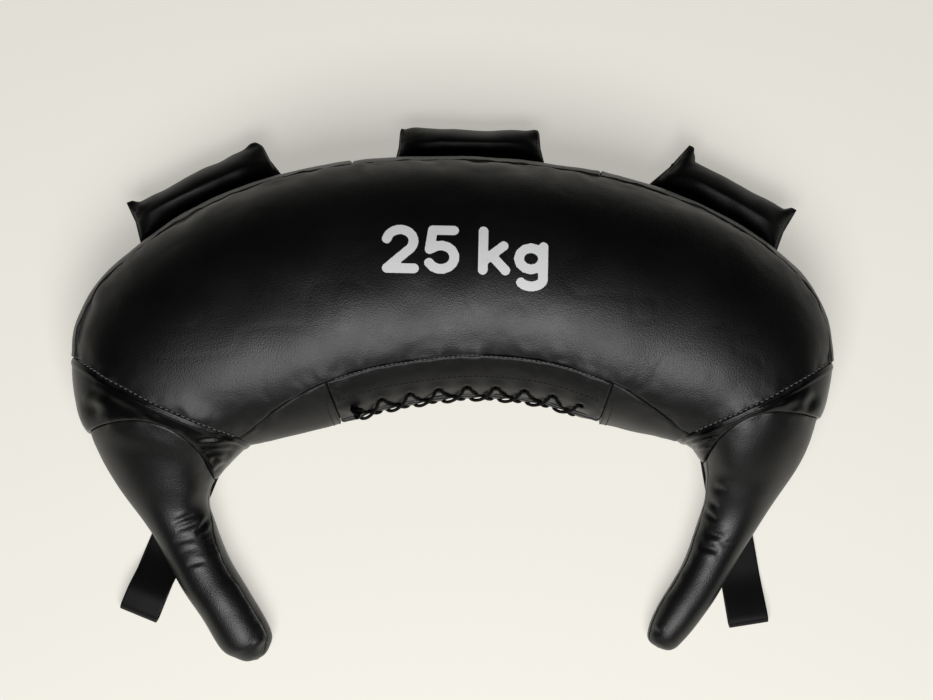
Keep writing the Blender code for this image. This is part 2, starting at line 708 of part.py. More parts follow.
def seam_height(row):
    """Height above the floor of the seam between the outer gusset and the back panel."""
    return surface(row, -rise_angle(OUTER_SEAM_SHARE, BACK_EXPONENT))[2]


def outline_at(height, start, stop):
    """The outer side's plan line at a height above the floor, between two rows."""
    rows = np.linspace(start, stop, 300)
    share = sections(rows)
    middle = share[:, 5] * HORN_LIFT + share[:, 4] * HALF_HEIGHT
    angle = -rise_angle((middle - height) / (share[:, 4] * HALF_HEIGHT), BACK_EXPONENT)
    return surface(rows, angle)[:, 0:2]


LEG_CENTRE = GRIP_LENGTH / 2 - STRAP_INSET - STRAP_WIDTH / 2


def grip_frame(row, yaw):
    """A grip's hinge point and the local line of the bag's skin along it."""
    height = seam_height(row)
    line = outline_at(height, row - 1.8, row + 1.8)
    turn = np.radians(yaw)
    along, out = np.array((np.cos(turn), np.sin(turn))), np.array((-np.sin(turn), np.cos(turn)))
    foot = surface(row, 0.0)[0:2]
    local = np.column_stack(((line - foot) @ along, (line - foot) @ out))
    local = local[np.argsort(local[:, 0])]
    legs = np.abs(np.abs(local[:, 0]) - LEG_CENTRE) <= STRAP_WIDTH / 2
    axis = local[legs, 1].max() + GRIP_AXIS_GAP
    local[:, 1] -= axis
    return np.array((*(foot + out * axis), height)), local


def arch(share, power):
    """Full in the middle of a roll and nothing at its ends."""
    return (1 - np.abs(share) ** power) ** 0.5


def roll_size(x, inset):
    """Half width and half height of the roll at each place along it."""
    full = arch(2 * x / GRIP_LENGTH, 4)
    width = GRIP_END_HALF_WIDTH + (GRIP_HALF_WIDTH - GRIP_END_HALF_WIDTH) * full - inset
    height = GRIP_END_HALF_HEIGHT + (GRIP_HALF_HEIGHT - GRIP_END_HALF_HEIGHT) * full - inset
    return width[:, None], height[:, None]


def roll_arcs(x, inset, lip, count):
    """Rings round the roll, from a lip on the bag's side over the roll to the other lip."""
    width, height = roll_size(x, inset)
    start = np.arcsin((lip / height) ** (GRIP_EXPONENT / 2))
    angle = start + (2 * np.pi - 2 * start) * np.linspace(0, 1, count)
    y = GRIP_REACH + GRIP_HALF_WIDTH - width * signed_power(np.cos(angle), 2 / GRIP_EXPONENT)
    z = height * signed_power(np.sin(angle), 2 / GRIP_EXPONENT)
    return np.stack((np.broadcast_to(x[:, None], y.shape), y, z), axis=-1)


ROLL_PLACES = GRIP_LENGTH / 2 * np.sin(np.linspace(-1, 1, 9) * np.pi / 2)
ROLL_POINTS = 15


def grip_cover(name, place, yaw, finish):
    """A leather sleeve rolled round the core, open along the bag's side for the strap's legs."""
    lip = WEBBING / 2 + FIT_GAP
    outer = roll_arcs(ROLL_PLACES, 0, lip, ROLL_POINTS)
    inner = roll_arcs(ROLL_PLACES, GRIP_LEATHER, lip, ROLL_POINTS)
    shape = outer.shape[:2]
    top, under = numbers(shape), numbers(shape, shape[0] * shape[1])
    faces = [*grid_triangles(top), *grid_triangles(under, flip=True),
             *strip(border(top), border(under))]
    points = np.concatenate((outer.reshape(-1, 3), inner.reshape(-1, 3)))
    add_object(name, points, faces, finish, place, yaw)


def grip_core(name, place, yaw, finish):
    """A foam roll slit from the bag's side, so that it closes round the strap."""
    slit = WEBBING / 2 + FIT_GAP
    arcs = roll_arcs(ROLL_PLACES, GRIP_LEATHER + FOAM_EASE, slit, ROLL_POINTS)
    full = np.full(len(ROLL_PLACES), 1.0)
    bottom = full * (GRIP_REACH + GRIP_HALF_WIDTH + STRAP_BAR / 2 + FIT_GAP)
    slot = np.stack((np.column_stack((ROLL_PLACES, bottom, -slit * full)),
                     np.column_stack((ROLL_PLACES, bottom, slit * full))), axis=1)
    rings = np.concatenate((arcs, slot), axis=1)
    for end, beside in ((0, 1), (-1, -2)):
        rings[end] = (rings[end] + rings[beside]) / 2
    number = closed(numbers(rings.shape[:2]))
    faces = [*grid_triangles(number), number[0, :-1], number[-1, :-1][::-1]]
    add_object(name, rings.reshape(-1, 3), faces, finish, place, yaw)


def grip_strap(name, place, yaw, skin_line, finish):
    """A flat webbing strap: a bar through the roll and two legs that end at the bag's skin."""
    half = WEBBING / 2
    bar_near = GRIP_REACH + GRIP_HALF_WIDTH - STRAP_BAR / 2
    bar_far = bar_near + STRAP_BAR
    leg_in, leg_out = LEG_CENTRE - STRAP_WIDTH / 2, LEG_CENTRE + STRAP_WIDTH / 2
    ends = np.linspace(-STRAP_WIDTH / 2, STRAP_WIDTH / 2, 5)
    right = np.column_stack((LEG_CENTRE + ends, np.zeros(5)))
    left = np.column_stack((-LEG_CENTRE + ends, np.zeros(5)))
    for leg in (left, right):
        reach = np.interp(leg[:, 0], skin_line[:, 0], skin_line[:, 1]) + GRIP_AXIS_GAP
        leg[:, 1] = np.maximum(reach, -half)
    plan = np.concatenate((left, ((-leg_in, bar_near), (leg_in, bar_near)), right,
                           ((leg_out, bar_far), (-leg_out, bar_far))))
    is_end = np.isin(np.arange(len(plan)), (*range(5), *range(7, 12)))
    levels = half * np.sin(np.linspace(-1, 1, 5) * np.pi / 2)
    layers = np.repeat(plan[None], 5, axis=0)
    layers[:, is_end, 1] -= np.sqrt(half ** 2 - levels ** 2)[:, None]
    points = np.concatenate((layers, np.broadcast_to(levels[:, None, None], (5, len(plan), 1))), axis=2)
    number = closed(numbers(points.shape[:2]))
    faces = [*grid_triangles(number), number[0, :-1], number[-1, :-1][::-1]]
    add_object(name, points.reshape(-1, 3), faces, finish, place, yaw)


def grips():
    for side, (row, yaw) in (("left", GRIP_LEFT), ("centre", GRIP_CENTRE), ("right", GRIP_RIGHT)):
        place, skin_line = grip_frame(row, yaw)
        print(f"grip {side}: hinge {np.round(place, 4)} yaw {yaw}")
        grip_cover("grip_cover_" + side, place, yaw,
                   material("grip_leather_" + side, (0.017, 0.017, 0.018), 0.38))
        grip_core("grip_core_" + side, place, yaw,
                  material("grip_foam_" + side, (0.12, 0.12, 0.12), 0.9))
        grip_strap("grip_strap_" + side, place, yaw, skin_line,
                   material("strap_webbing_" + side, (0.02, 0.02, 0.02), 0.8))


# Webbing loops

def underside(x, y, side):
    """Height of the bag's underside above a plan point near one yoke."""
    row, tip = SIDES[side][:2]
    inward = np.sign(row - tip)
    rows = np.linspace(row - 4 * inward, row + 3 * inward, 400)
    share = sections(rows)
    plan = np.array((HALF_LENGTH, HALF_DEPTH))
    outer, inner = share[:, 0:2] * plan, share[:, 2:4] * plan
    middle, arm = (outer + inner) / 2, (outer - inner) / 2
    heights = []
    for px, py in zip(np.ravel(x), np.ravel(y)):
        away = np.array((px, py)) - middle
        along = np.sum(away * arm, axis=1) / np.sum(arm * arm, axis=1)
        beside = np.abs(away[:, 0] * arm[:, 1] - away[:, 1] * arm[:, 0]) / np.linalg.norm(arm, axis=1)
        best = np.argmin(beside + HALF_LENGTH * (np.abs(along) > 1))
        drop = 1 - min(abs(along[best]), 1) ** BACK_EXPONENT
        height = share[best, 4] * HALF_HEIGHT
        low = share[best, 5] * HORN_LIFT + height * (1 - drop ** (1 / BACK_EXPONENT))
        heights.append(max(low, 0))
    return np.reshape(heights, np.shape(x))


LOOP_STACK = 2 * WEBBING + PLY_GAP


def loop_frame(side, root, yaw):
    """The loop's hinge point under the yoke and its plan directions, across and outward."""
    turn = np.radians(yaw)
    across, out = np.array((np.cos(turn), np.sin(turn))), np.array((-np.sin(turn), np.cos(turn)))
    plan = plan_point(root)
    sides = np.linspace(-LOOP_WIDTH, LOOP_WIDTH, 5)[:, None, None] * across
    ahead = LOOP_STACK * np.arange(3)[None, :, None] * out
    under = plan + sides + ahead
    height = underside(under[..., 0], under[..., 1], side).min() - LOOP_CLEARANCE - LOOP_STACK / 2
    return np.array((*plan, height)), across, out


def ease(share):
    share = np.clip(share, 0, 1)
    return share * share * (3 - 2 * share)


def loop_profile(height, stem_end, eye):
    """Outer and inner outlines of the loop seen from its side: a stem and an open eye."""
    half = LOOP_STACK / 2
    bend = (LOOP_STACK + eye - PLY_GAP) / 2
    y = np.concatenate((LOOP_SETTLE * np.linspace(0.2, 1, 4), stem_end * np.array((0.6,)),
                        np.linspace(stem_end, LOOP_REACH - bend, 7)))
    floor = -half + (half - height) * ease(y / LOOP_SETTLE)
    opening = PLY_GAP + (eye - PLY_GAP) * ease((y - stem_end) / (LOOP_REACH - stem_end))
    top = floor + 2 * WEBBING + opening
    turn = np.linspace(-np.pi / 2, np.pi / 2, 7)[1:-1]
    centre = (y[-1], (floor[-1] + top[-1]) / 2)
    radius = (top[-1] - floor[-1]) / 2
    nose = np.column_stack((centre[0] + radius * np.cos(turn), centre[1] + radius * np.sin(turn)))
    stem_turn = np.linspace(np.pi / 2, 3 * np.pi / 2, 7)
    stem = half * np.column_stack((np.cos(stem_turn), np.sin(stem_turn)))
    outer = np.concatenate((np.column_stack((y, floor)), nose, np.column_stack((y, top))[::-1], stem))
    inside = y > stem_end * 1.01
    radius -= WEBBING
    hollow = np.column_stack((centre[0] + radius * np.cos(turn), centre[1] + radius * np.sin(turn)))
    inner = np.concatenate((np.column_stack((y, floor + WEBBING))[inside], hollow,
                            np.column_stack((y, top - WEBBING))[inside][::-1]))
    return outer, inner


def loop(side, place, yaw, stem_end, eye, finish):
    """A webbing band sewn to itself along its stem, with an eye at its end."""
    build = bmesh.new()
    edges = []
    for outline in loop_profile(place[2], stem_end, eye):
        ring = [build.verts.new((-LOOP_WIDTH / 2, y, z)) for y, z in outline]
        edges += [build.edges.new((a, b)) for a, b in zip(ring, ring[1:] + ring[:1])]
    bmesh.ops.triangle_fill(build, edges=edges, use_beauty=True, use_dissolve=False)
    wide = bmesh.ops.extrude_face_region(build, geom=build.faces[:])
    moved = [item for item in wide["geom"] if isinstance(item, bmesh.types.BMVert)]
    bmesh.ops.translate(build, verts=moved, vec=(LOOP_WIDTH, 0, 0))
    build.verts.index_update()
    points = [tuple(v.co) for v in build.verts]
    faces = [[v.index for v in face.verts] for face in build.faces]
    build.free()
    add_object("webbing_loop_" + side, points, faces, finish, place, yaw)


def loop_anchor(side, place, across, out, finish):
    """The sewn-down end of the loop's webbing, shaped to the yoke above it."""
    sides = np.linspace(-LOOP_WIDTH / 2, LOOP_WIDTH / 2, 4)
    backs = np.linspace(-LOOP_STACK / 2 - ANCHOR_RUNNING_GAP, -ANCHOR_LENGTH, 5)
    plan = (place[0:2] + sides[None, :, None] * across + backs[:, None, None] * out)
    roof = underside(plan[..., 0], plan[..., 1], side) - 2 * FIT_GAP
    roof[0] = np.minimum(roof[0], place[2] + LOOP_STACK / 2)
    thick = np.linspace(LOOP_STACK, WEBBING, 5)[:, None]
    floor = np.maximum(roof - thick, 0)
    upper = np.concatenate((plan, roof[..., None]), axis=2)
    lower = np.concatenate((plan, floor[..., None]), axis=2)
    print(f"anchor {side}: roof {roof.min():.4f} to {roof.max():.4f}, floor from {floor.min():.4f}")
    patch("loop_anchor_" + side, upper, lower, finish)


def loops():
    for side, root, yaw, stem_end, eye in (
            ("left", LOOP_ROOT_LEFT_SHARES, LOOP_YAW_LEFT, LOOP_STEM_LEFT, LOOP_EYE_LEFT),
            ("right", LOOP_ROOT_RIGHT_SHARES, LOOP_YAW_RIGHT, LOOP_STEM_RIGHT, LOOP_EYE_RIGHT)):
        place, across, out = loop_frame(side, root, yaw)
        print(f"loop {side}: hinge {np.round(place, 4)} yaw {yaw}")
        loop(side, place, yaw, stem_end, eye,
             material("loop_webbing_" + side, (0.018, 0.018, 0.019), 0.75))
        loop_anchor(side, place, across, out,
                    material("anchor_webbing_" + side, (0.02, 0.02, 0.02), 0.8))


def main():
    clear_scene()
    body_panels()
    plackets()
    lace()
    tongue()
    wadding()
    sand_sacks()
    for side in SIDES:
        yoke(side)
        end_pad(side)
        horn(side)
    grips()
    loops()


main()
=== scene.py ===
"""The finished bulgarian bag: sewn leather, lacing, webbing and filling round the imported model.

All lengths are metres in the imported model's frame: X runs along the bag, Y from the horn tips to
the grips and Z up from the floor. A row is a cross-section of the bag, numbered from the left tip.
"""

import itertools
import json

import bpy
import numpy as np
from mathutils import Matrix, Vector
from mathutils.bvhtree import BVHTree


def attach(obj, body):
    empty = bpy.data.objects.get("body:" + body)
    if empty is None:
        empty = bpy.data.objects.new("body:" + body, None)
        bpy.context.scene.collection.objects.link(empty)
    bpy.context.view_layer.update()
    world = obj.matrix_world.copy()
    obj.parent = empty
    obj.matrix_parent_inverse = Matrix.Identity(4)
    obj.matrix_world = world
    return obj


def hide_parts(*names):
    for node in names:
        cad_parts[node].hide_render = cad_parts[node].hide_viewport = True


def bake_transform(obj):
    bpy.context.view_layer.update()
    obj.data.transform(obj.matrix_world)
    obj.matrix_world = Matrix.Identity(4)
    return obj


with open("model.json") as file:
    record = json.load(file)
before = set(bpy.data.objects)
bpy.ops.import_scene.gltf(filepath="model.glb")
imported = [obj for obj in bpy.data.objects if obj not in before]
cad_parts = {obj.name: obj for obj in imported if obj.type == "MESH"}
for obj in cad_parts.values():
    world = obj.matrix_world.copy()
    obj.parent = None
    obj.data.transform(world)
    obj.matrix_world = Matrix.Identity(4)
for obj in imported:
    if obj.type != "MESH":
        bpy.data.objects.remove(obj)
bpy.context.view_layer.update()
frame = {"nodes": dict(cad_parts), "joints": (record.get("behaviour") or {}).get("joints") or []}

# Overall size of the lying bag, and the height that its horns are held above the floor
HALF_LENGTH = 0.361
HALF_DEPTH = 0.257
HALF_HEIGHT = 0.0875
HORN_LIFT = 0.0085

# One cross-section a line from the left horn tip to the right one: outer edge x and y, inner edge
# x and y, half thickness, height of its underside, each as a share of the sizes above.
SECTION_SHARES = np.array((
    (-0.518, -1.000, -0.518, -1.000, 0.000, 2.50),
    (-0.572, -0.995, -0.482, -0.940, 0.183, 0.82),
    (-0.614, -0.962, -0.485, -0.880, 0.262, 0.22),
    (-0.664, -0.850, -0.536, -0.760, 0.286, 0.47),
    (-0.726, -0.720, -0.592, -0.626, 0.300, 0.82),
    (-0.800, -0.525, -0.634, -0.470, 0.340, 1.05),
    (-0.884, -0.365, -0.634, -0.384, 0.440, 1.20),
    (-0.939, -0.244, -0.610, -0.319, 0.526, 1.35),
    (-0.972, -0.150, -0.582, -0.276, 0.617, 1.40),
    (-0.993, -0.036, -0.557, -0.244, 0.697, 1.20),
    (-1.000, 0.101, -0.535, -0.222, 0.771, 0.80),
    (-0.985, 0.257, -0.502, -0.208, 0.830, 0.25),
    (-0.903, 0.435, -0.450, -0.192, 0.891, -0.15),
    (-0.734, 0.621, -0.374, -0.168, 0.937, -0.35),
    (-0.506, 0.767, -0.281, -0.133, 0.979, -0.35),
    (-0.266, 0.834, -0.162, -0.082, 1.000, -0.35),
    (0.014, 0.849, 0.045, -0.042, 1.000, -0.35),
    (0.290, 0.818, 0.235, -0.066, 1.000, -0.35),
    (0.534, 0.736, 0.365, -0.126, 0.979, -0.35),
    (0.749, 0.606, 0.460, -0.160, 0.937, -0.35),
    (0.915, 0.420, 0.542, -0.188, 0.891, -0.15),
    (0.988, 0.248, 0.594, -0.207, 0.830, 0.25),
    (1.000, 0.094, 0.624, -0.226, 0.771, 0.80),
    (0.989, -0.032, 0.641, -0.256, 0.697, 1.20),
    (0.966, -0.140, 0.655, -0.299, 0.617, 1.40),
    (0.927, -0.256, 0.664, -0.352, 0.526, 1.35),
    (0.870, -0.385, 0.666, -0.410, 0.425, 1.20),
    (0.792, -0.548, 0.652, -0.486, 0.318, 1.05),
    (0.716, -0.730, 0.608, -0.655, 0.262, 0.82),
    (0.656, -0.858, 0.556, -0.780, 0.246, 0.47),
    (0.607, -0.936, 0.525, -0.870, 0.223, 0.24),
    (0.580, -0.957, 0.523, -0.916, 0.143, 0.92),
    (0.546, -0.956, 0.546, -0.956, 0.000, 2.30),
))
LAST_ROW = len(SECTION_SHARES) - 1.0
FRONT_EXPONENT = 2.1
BACK_EXPONENT = 2.5

# Where the seams run: heights in shares of the half thickness, ends in row numbers. Each yoke ends
# on two circles seen in plan, whose centres are shares of the overall size.
INWARD = {"left": 1, "right": -1}
LEFT_YOKE_ROW = 10.0
RIGHT_YOKE_ROW = 22.0
BODY_ROWS = (LEFT_YOKE_ROW, RIGHT_YOKE_ROW)
YOKE_ROWS = {"left": LEFT_YOKE_ROW, "right": RIGHT_YOKE_ROW}
TIP_ROWS = {"left": 0.0, "right": LAST_ROW}
PLACKET_ROWS = (13.9, 18.25)
OUTER_GUSSET_ROWS = {"left": (LEFT_YOKE_ROW, 15.0), "centre": (15.0, 17.4), "right": (17.4, RIGHT_YOKE_ROW)}
INNER_GUSSET_ROWS = {"left": (LEFT_YOKE_ROW, PLACKET_ROWS[0]), "right": (PLACKET_ROWS[1], RIGHT_YOKE_ROW)}
OUTER_SEAM_SHARE = 0.43
INNER_SEAM_SHARE = 0.70
INNER_CORNER_SHARE = 0.42
STEEPEST_SHARE = 0.98
SEAM_TURN_ROWS = 4.0
SLIT_HALF = 0.010
YOKE_ARC_RADIUS = 0.48445
YOKE_CENTRE_SHARES = {"left": (-0.188, 1.606), "right": (0.202, 1.601)}
YOKE_SEARCH_ROWS = (2.5, 2.5)
HORN_ARC_RADIUS = 0.0785
HORN_CENTRE_SHARES = {"left": (-0.822, -0.462), "right": (0.841, -0.432)}
HORN_SEARCH_ROWS = (5.2, 1.5)
HORN_SEAM_LEVEL_ROWS = 0.42

# Sewing
LEATHER = 0.0012
SEAM_HALF_GAP = 0.00025
SEAM_DRAWN_SHARE = 0.6
SEAM_ROUNDING = 0.0024
TUCK_DEPTH = 0.004
FLOOR_GAP = 0.0004
EDGE_STEPS = np.array((0.0, 0.0003, 0.0007, 0.0012, 0.0019, 0.0028, 0.0041, 0.006))
PANEL_STEP = 0.0032
BACK_PANEL_STEP = 0.00448
WEAR_REACH = 0.004
SMALL_WEAR_REACH = 0.003

# Stitches. Their rings are shares of the length along it, of the radius in girth and in rise.
STITCH_PITCH = 0.0050
STITCH_LENGTH = 0.0040
STITCH_RADIUS = 0.00050
STITCH_SIDES = 6
STITCH_RING_SHARES = np.array((
    (-0.50, 0.3, -1.4), (-0.42, 0.8, -0.5), (-0.20, 1.0, 0.3),
    (0.20, 1.0, 0.3), (0.42, 0.8, -0.5), (0.50, 0.3, -1.4)))
TOPSTITCH_INSET = 0.0026
TOPSTITCH_PITCH = 0.0054
TOPSTITCH_LIFT = 0.0004
TOPSTITCH_SHARE = 1.4
GUSSET_STITCH_INSETS = (0.003, 0.0085)

# Relief. Lumps of the filling have a height and a size, puckers at a seam a height and a reach,
# and beads along a seam a distance from it, a width and a height.
LUMPS = {
    "front": (0.0012, 0.075), "back": (0.0006, 0.075), "gusset": (0.0012, 0.05),
    "yoke": (0.0008, 0.060), "horn": (0.0009, 0.050), "grip": (0.0014, 0.035),
    "wadding": (0.00064, 0.03), "sack": (0.0006, 0.03)}
LUMP_DETAIL_SHARE = 0.45
LUMP_FINENESS = 2.3
PUCKERS = {
    "panel": (0.0011, 0.012), "yoke": (0.0010, 0.009), "horn_seam": (0.0007, 0.008),
    "horn_neck": (0.0010, 0.010)}
PUCKER_SIZES = (0.011, 0.011, 0.022)
PUCKER_FINENESS = 2.1
GATHER_HEIGHT = 0.0024
GATHER_SIZE = 0.022
GATHER_START = 0.003
GATHER_REACH = 0.013
GATHER_FADE_POWER = 1.5
GATHER_DETAIL_SHARE = 0.3
GATHER_MOST_SHARE = 0.35
CREASE_DEPTH = 0.0002
CREASE_SIZE = 0.03
CREASE_WIDTH_SHARE = 0.16
CREASE_POWER = 1.5
FOLD_TROUGH_SHARE = 0.4
FOLD_TROUGH_WIDTHS = 1.7
FOLD_FADE_POWER = 0.6
FOLD_FACING_START_SHARE = -0.35
FOLD_FACING_EASE_SHARE = 0.5
YOKE_BEAD = (0.0046, 0.0018, 0.0010)
TIP_BEAD = (0.010, 0.008, 0.0022)
HOLE_PEAK = (0.0, 0.0085, 0.0024)
HOLE_HOLLOW = (0.0, 0.0042, 0.0016)

# Lacing
LACE_MIDDLE_ROW = 15.97
HOLE_COUNT = 9
HOLE_PITCH = 0.027
HOLE_RISE = 0.029
HOLE_RADIUS = 0.0036
HOLE_CLEARED_SHARE = 1.3
PLACKET_STEP = 0.0016
PLACKET_SEAM_INSET = 0.0016
PLACKET_HEM_INSET = 0.0265
PLACKET_STITCH_PITCH = 0.0044
PLACKET_STITCH_LIFT = 0.0003
MODEL_LEATHER = 0.002
LACE_RADIUS = 0.0016
LACE_STAND_OFF = 0.0002
LACE_LAYER_GAP = 0.0008
LACE_LAYER = 2 * LACE_RADIUS + LACE_LAYER_GAP
LACE_OUTSIDE = LACE_RADIUS + LACE_STAND_OFF
LACE_INSIDE = MODEL_LEATHER + LACE_RADIUS + LACE_LAYER_GAP
LACE_SAG = 0.0026
LACE_SHIFT = 0.0019
KNOT_AWAY = 0.011
KNOT_RADIUS = 0.0034
KNOT_HEIGHT = 0.0022
KNOT_LOOP_SHARE = 1.4
KNOT_SPREAD_SHARE = 1.6
KNOT_LACE_SHARE = 0.9
KNOT_POINTS = 90
OUTWARD_STEP = 0.01
TUBE_SIDES = 12
TUBE_START = (0.3, 0.5, 0.8)
TONGUE_GAP = 0.0018
TONGUE_SHARES = np.linspace(0.2, 0.8, 24)
TONGUE_LINES = 60

# A leg of the lace between two holes: shares of its way, of its layer's stand-off and of its sag
LEG_SHARES = ((0, 0, 0), (0.25, 0.35, 0), (0.5, 1, 1), (0.75, 0.35, 0), (1, 0, 0))
CROSSING_SHARES = (-0.5, 0, 0.5, 1)

# Yokes
YOKE_LINES = 200
YOKE_LENGTH = 0.06
YOKE_STEP = 0.0024
YOKE_ROUNDING = 0.0018
YOKE_DIP_REACH = 0.005
YOKE_CORNER_SHARES = (1.0, 1.45)
YOKE_CORNER_REACH = 0.055
YOKE_WRINKLE_HEIGHT = 0.0015
YOKE_WRINKLE_SIZES = (0.010, 0.010, 0.02)
YOKE_FOLD_SHARE = 1.5

# Folds in plan, from one x and y to another, with a width and a height
YOKE_FOLDS = {
    "left": ((-0.2374, -0.0601, -0.2013, -0.0543, 0.0022, 0.0016),
             (-0.2353, -0.0651, -0.2056, -0.0594, 0.0024, 0.0018),
             (-0.2289, -0.0716, -0.2106, -0.0646, 0.0024, 0.0016),
             (-0.2311, -0.0684, -0.2241, -0.0803, 0.0026, 0.0014),
             (-0.2264, -0.0780, -0.2149, -0.0697, 0.0022, 0.0014),
             (-0.3342, -0.0039, -0.2787, -0.0316, 0.0050, 0.0010),
             (-0.3390, -0.0139, -0.3330, -0.0408, 0.0080, -0.0014),
             (-0.3462, -0.0167, -0.3172, -0.0214, 0.0050, 0.0010)),
    "right": ((0.2182, -0.0510, 0.2482, -0.0471, 0.0022, 0.0016),
              (0.2237, -0.0557, 0.2451, -0.0530, 0.0022, 0.0016),
              (0.2291, -0.0615, 0.2404, -0.0577, 0.0022, 0.0014),
              (0.3221, -0.0180, 0.2839, -0.0319, 0.0045, 0.0010),
              (0.3411, -0.0134, 0.3290, -0.0280, 0.0050, -0.0014))}

# Horns. The long seam swings over from one angle to the other between two rows.
HORN_LINES = 179
HORN_CROWDING_SHARE = 0.902
HORN_RINGS = 150
HORN_RING_POWER = 1.25
HORN_NECK_RINGS = 26
HORN_NECK_LENGTH = 0.06
HORN_NECK_ROWS = 5.7
HORN_DIP = 0.0042
HORN_DIP_REACH = 0.026
HORN_DIP_POWER = 1.5
HORN_SEAM_ROUNDING = 0.0022
HORN_TIP_START = 0.01
HORN_TIP_LENGTH = 0.02
HORN_FOLD_SHARE = 0.75
HORN_SWING_ROWS = (4.1, 5.6)
HORN_SEAM_ANGLES = {"left": np.radians((178, 140)), "right": np.radians((168, 157))}
HORN_FOLDS = {
    "left": ((-0.2642, -0.1296, -0.2440, -0.1211, 0.0022, -0.0014),
             (-0.2618, -0.1362, -0.2405, -0.1294, 0.0022, -0.0014),
             (-0.2646, -0.1473, -0.2430, -0.1436, 0.0026, -0.0012),
             (-0.2580, -0.1570, -0.2408, -0.1529, 0.0024, -0.0008),
             (-0.2514, -0.1692, -0.2340, -0.1651, 0.0024, -0.0014),
             (-0.2425, -0.1400, -0.2300, -0.1225, 0.0022, -0.0022),
             (-0.2382, -0.1434, -0.2280, -0.1363, 0.0018, -0.0014),
             (-0.2354, -0.1481, -0.2260, -0.1410, 0.0018, -0.0014),
             (-0.2336, -0.1528, -0.2235, -0.1456, 0.0018, -0.0014),
             (-0.2317, -0.1580, -0.2215, -0.1513, 0.0018, -0.0012),
             (-0.2529, -0.1268, -0.2150, -0.0930, 0.0080, -0.0016),
             (-0.1858, -0.2530, -0.1745, -0.2408, 0.0030, -0.0020),
             (-0.1900, -0.2440, -0.1790, -0.2370, 0.0030, 0.0008)),
    "right": ((0.2452, -0.0965, 0.2584, -0.1014, 0.0026, -0.0024),
              (0.2420, -0.1080, 0.2512, -0.1155, 0.0024, -0.0022),
              (0.2400, -0.1185, 0.2498, -0.1274, 0.0022, -0.0019),
              (0.2400, -0.1370, 0.2590, -0.1435, 0.0032, -0.0020),
              (0.2340, -0.1500, 0.2530, -0.1560, 0.0032, -0.0020),
              (0.2500, -0.1478, 0.2690, -0.1500, 0.0030, -0.0010),
              (0.2430, -0.1320, 0.2571, -0.1350, 0.0022, -0.0008),
              (0.2380, -0.0839, 0.2700, -0.0920, 0.0060, -0.0010),
              (0.1890, -0.2275, 0.1985, -0.2340, 0.0030, -0.0014))}

# Each hinge is the solid model's own. Its piece is drawn turned about Z by a yaw in degrees.
HINGES = {joint["name"]: np.array(joint["pos_m"]) for joint in frame["joints"]}
YAWS = {
    "grip_left_fold": 24.5, "grip_centre_fold": -0.4, "grip_right_fold": -30.0,
    "loop_left_swing": 157.9, "loop_right_swing": 188.9}

# Grips. An outline is the near and the far left and right ends, the reach, its lean, then how far
# the far corners reach out at the left and right and how far they are rounded there.
GRIP_OUTLINES = {
    "left": (-0.0725, 0.0815, -0.0700, 0.0770, 0.0462, 0.045, 0.0040, 0.0010, 0.0010, 0.0080),
    "centre": (-0.0730, 0.0755, -0.0695, 0.0715, 0.0424, -0.010, 0.0000, 0.0000, 0.0040, 0.0040),
    "right": (-0.0820, 0.0600, -0.0680, 0.0560, 0.0495, 0.015, 0.0110, 0.0050, 0.0020, 0.0000)}
GRIP_SHIFTS = {"left": 0.003, "centre": 0.001, "right": -0.010}
GRIP_LINES = 96
GRIP_HALF_RINGS = 24
GRIP_NEAR = 0.0082
GRIP_NEAR_EAR = 0.0048
GRIP_EAR_START_SHARE = 0.80
GRIP_EAR_RISE_SHARE = 0.13
GRIP_ROUND_START_SHARE = 0.75
GRIP_BOW = 0.0046
GRIP_HALF_LENGTH = 0.07
GRIP_FIRST_RING = 0.0075
GRIP_HALF_HEIGHT = 0.0205
GRIP_FULL_POWER = 0.62
GRIP_EXPONENT = 1.5
GRIP_SEAM_HALF = 0.0014
GRIP_ROUNDING = 0.0012
GRIP_END_LENGTH = 0.004
GRIP_END_SHARE = 0.15
GRIP_GATHER_HEIGHT = 0.0012
GRIP_GATHER_SIZES = (0.028, 0.0052, 0.0052)
GRIP_GATHER_REACH = 0.010
GRIP_CORNER_HEIGHT = 0.0022
GRIP_CORNER_SIZE = 0.013
GRIP_CORNER_REACH = 0.016
GRIP_STITCH_INSET = 0.0042
GRIP_STITCH_PITCH = 0.0040
GRIP_STITCH_LIFT = 0.0001
GRIP_STITCHED_LINES = ((8, 41), (56, 89))
GRIP_CORE_INSET = 0.0034
GRIP_CORE_RINGS = 33
GRIP_CORE_LINES = 48

# Webbing: grip straps, loops and their anchors
WEBBING = 0.0024
WEBBING_EDGE_SHARE = 0.3
WEBBING_EDGE_SEGMENTS = 2
WEBBING_EDGE_ANGLE = np.radians(60)
PLY_GAP = 0.0004
LOOP_STACK = 2 * WEBBING + PLY_GAP
STRAP_WIDTH = 0.028
STRAP_MIDDLE = 0.048
STRAP_NEAR = 0.0156
STRAP_BAR = 0.020
STRAP_START = -0.0008
STRAP_LEG_POINTS = 16
STRAP_LINES = 13
LOOP_WIDTH = 0.038
LOOP_LINES = 17
LOOP_REACH = 0.184
LOOP_SETTLE = 0.034
LOOP_SETTLE_POINTS = 26
LOOP_PLY_POINTS = 50
LOOP_NOSE_POINTS = 15
LOOP_STEMS = {"left": 0.112, "right": 0.130}
LOOP_EYES = {"left": 0.013, "right": 0.010}
LOOP_CURLS = {"left": 0.007, "right": 0.0}
LOOP_CREST = 0.024
LOOP_SKEWS = {"left": 0.0030, "right": 0.0}
LOOP_REST_GAP = 0.0002
LOOP_WAVE_HEIGHT = 0.0007
LOOP_WAVE_SIZES = (0.03, 0.045, 0.2)
LOOP_WAVE_START = 0.05
ANCHOR_LENGTH = 0.026
ANCHOR_ROOM = 0.0006
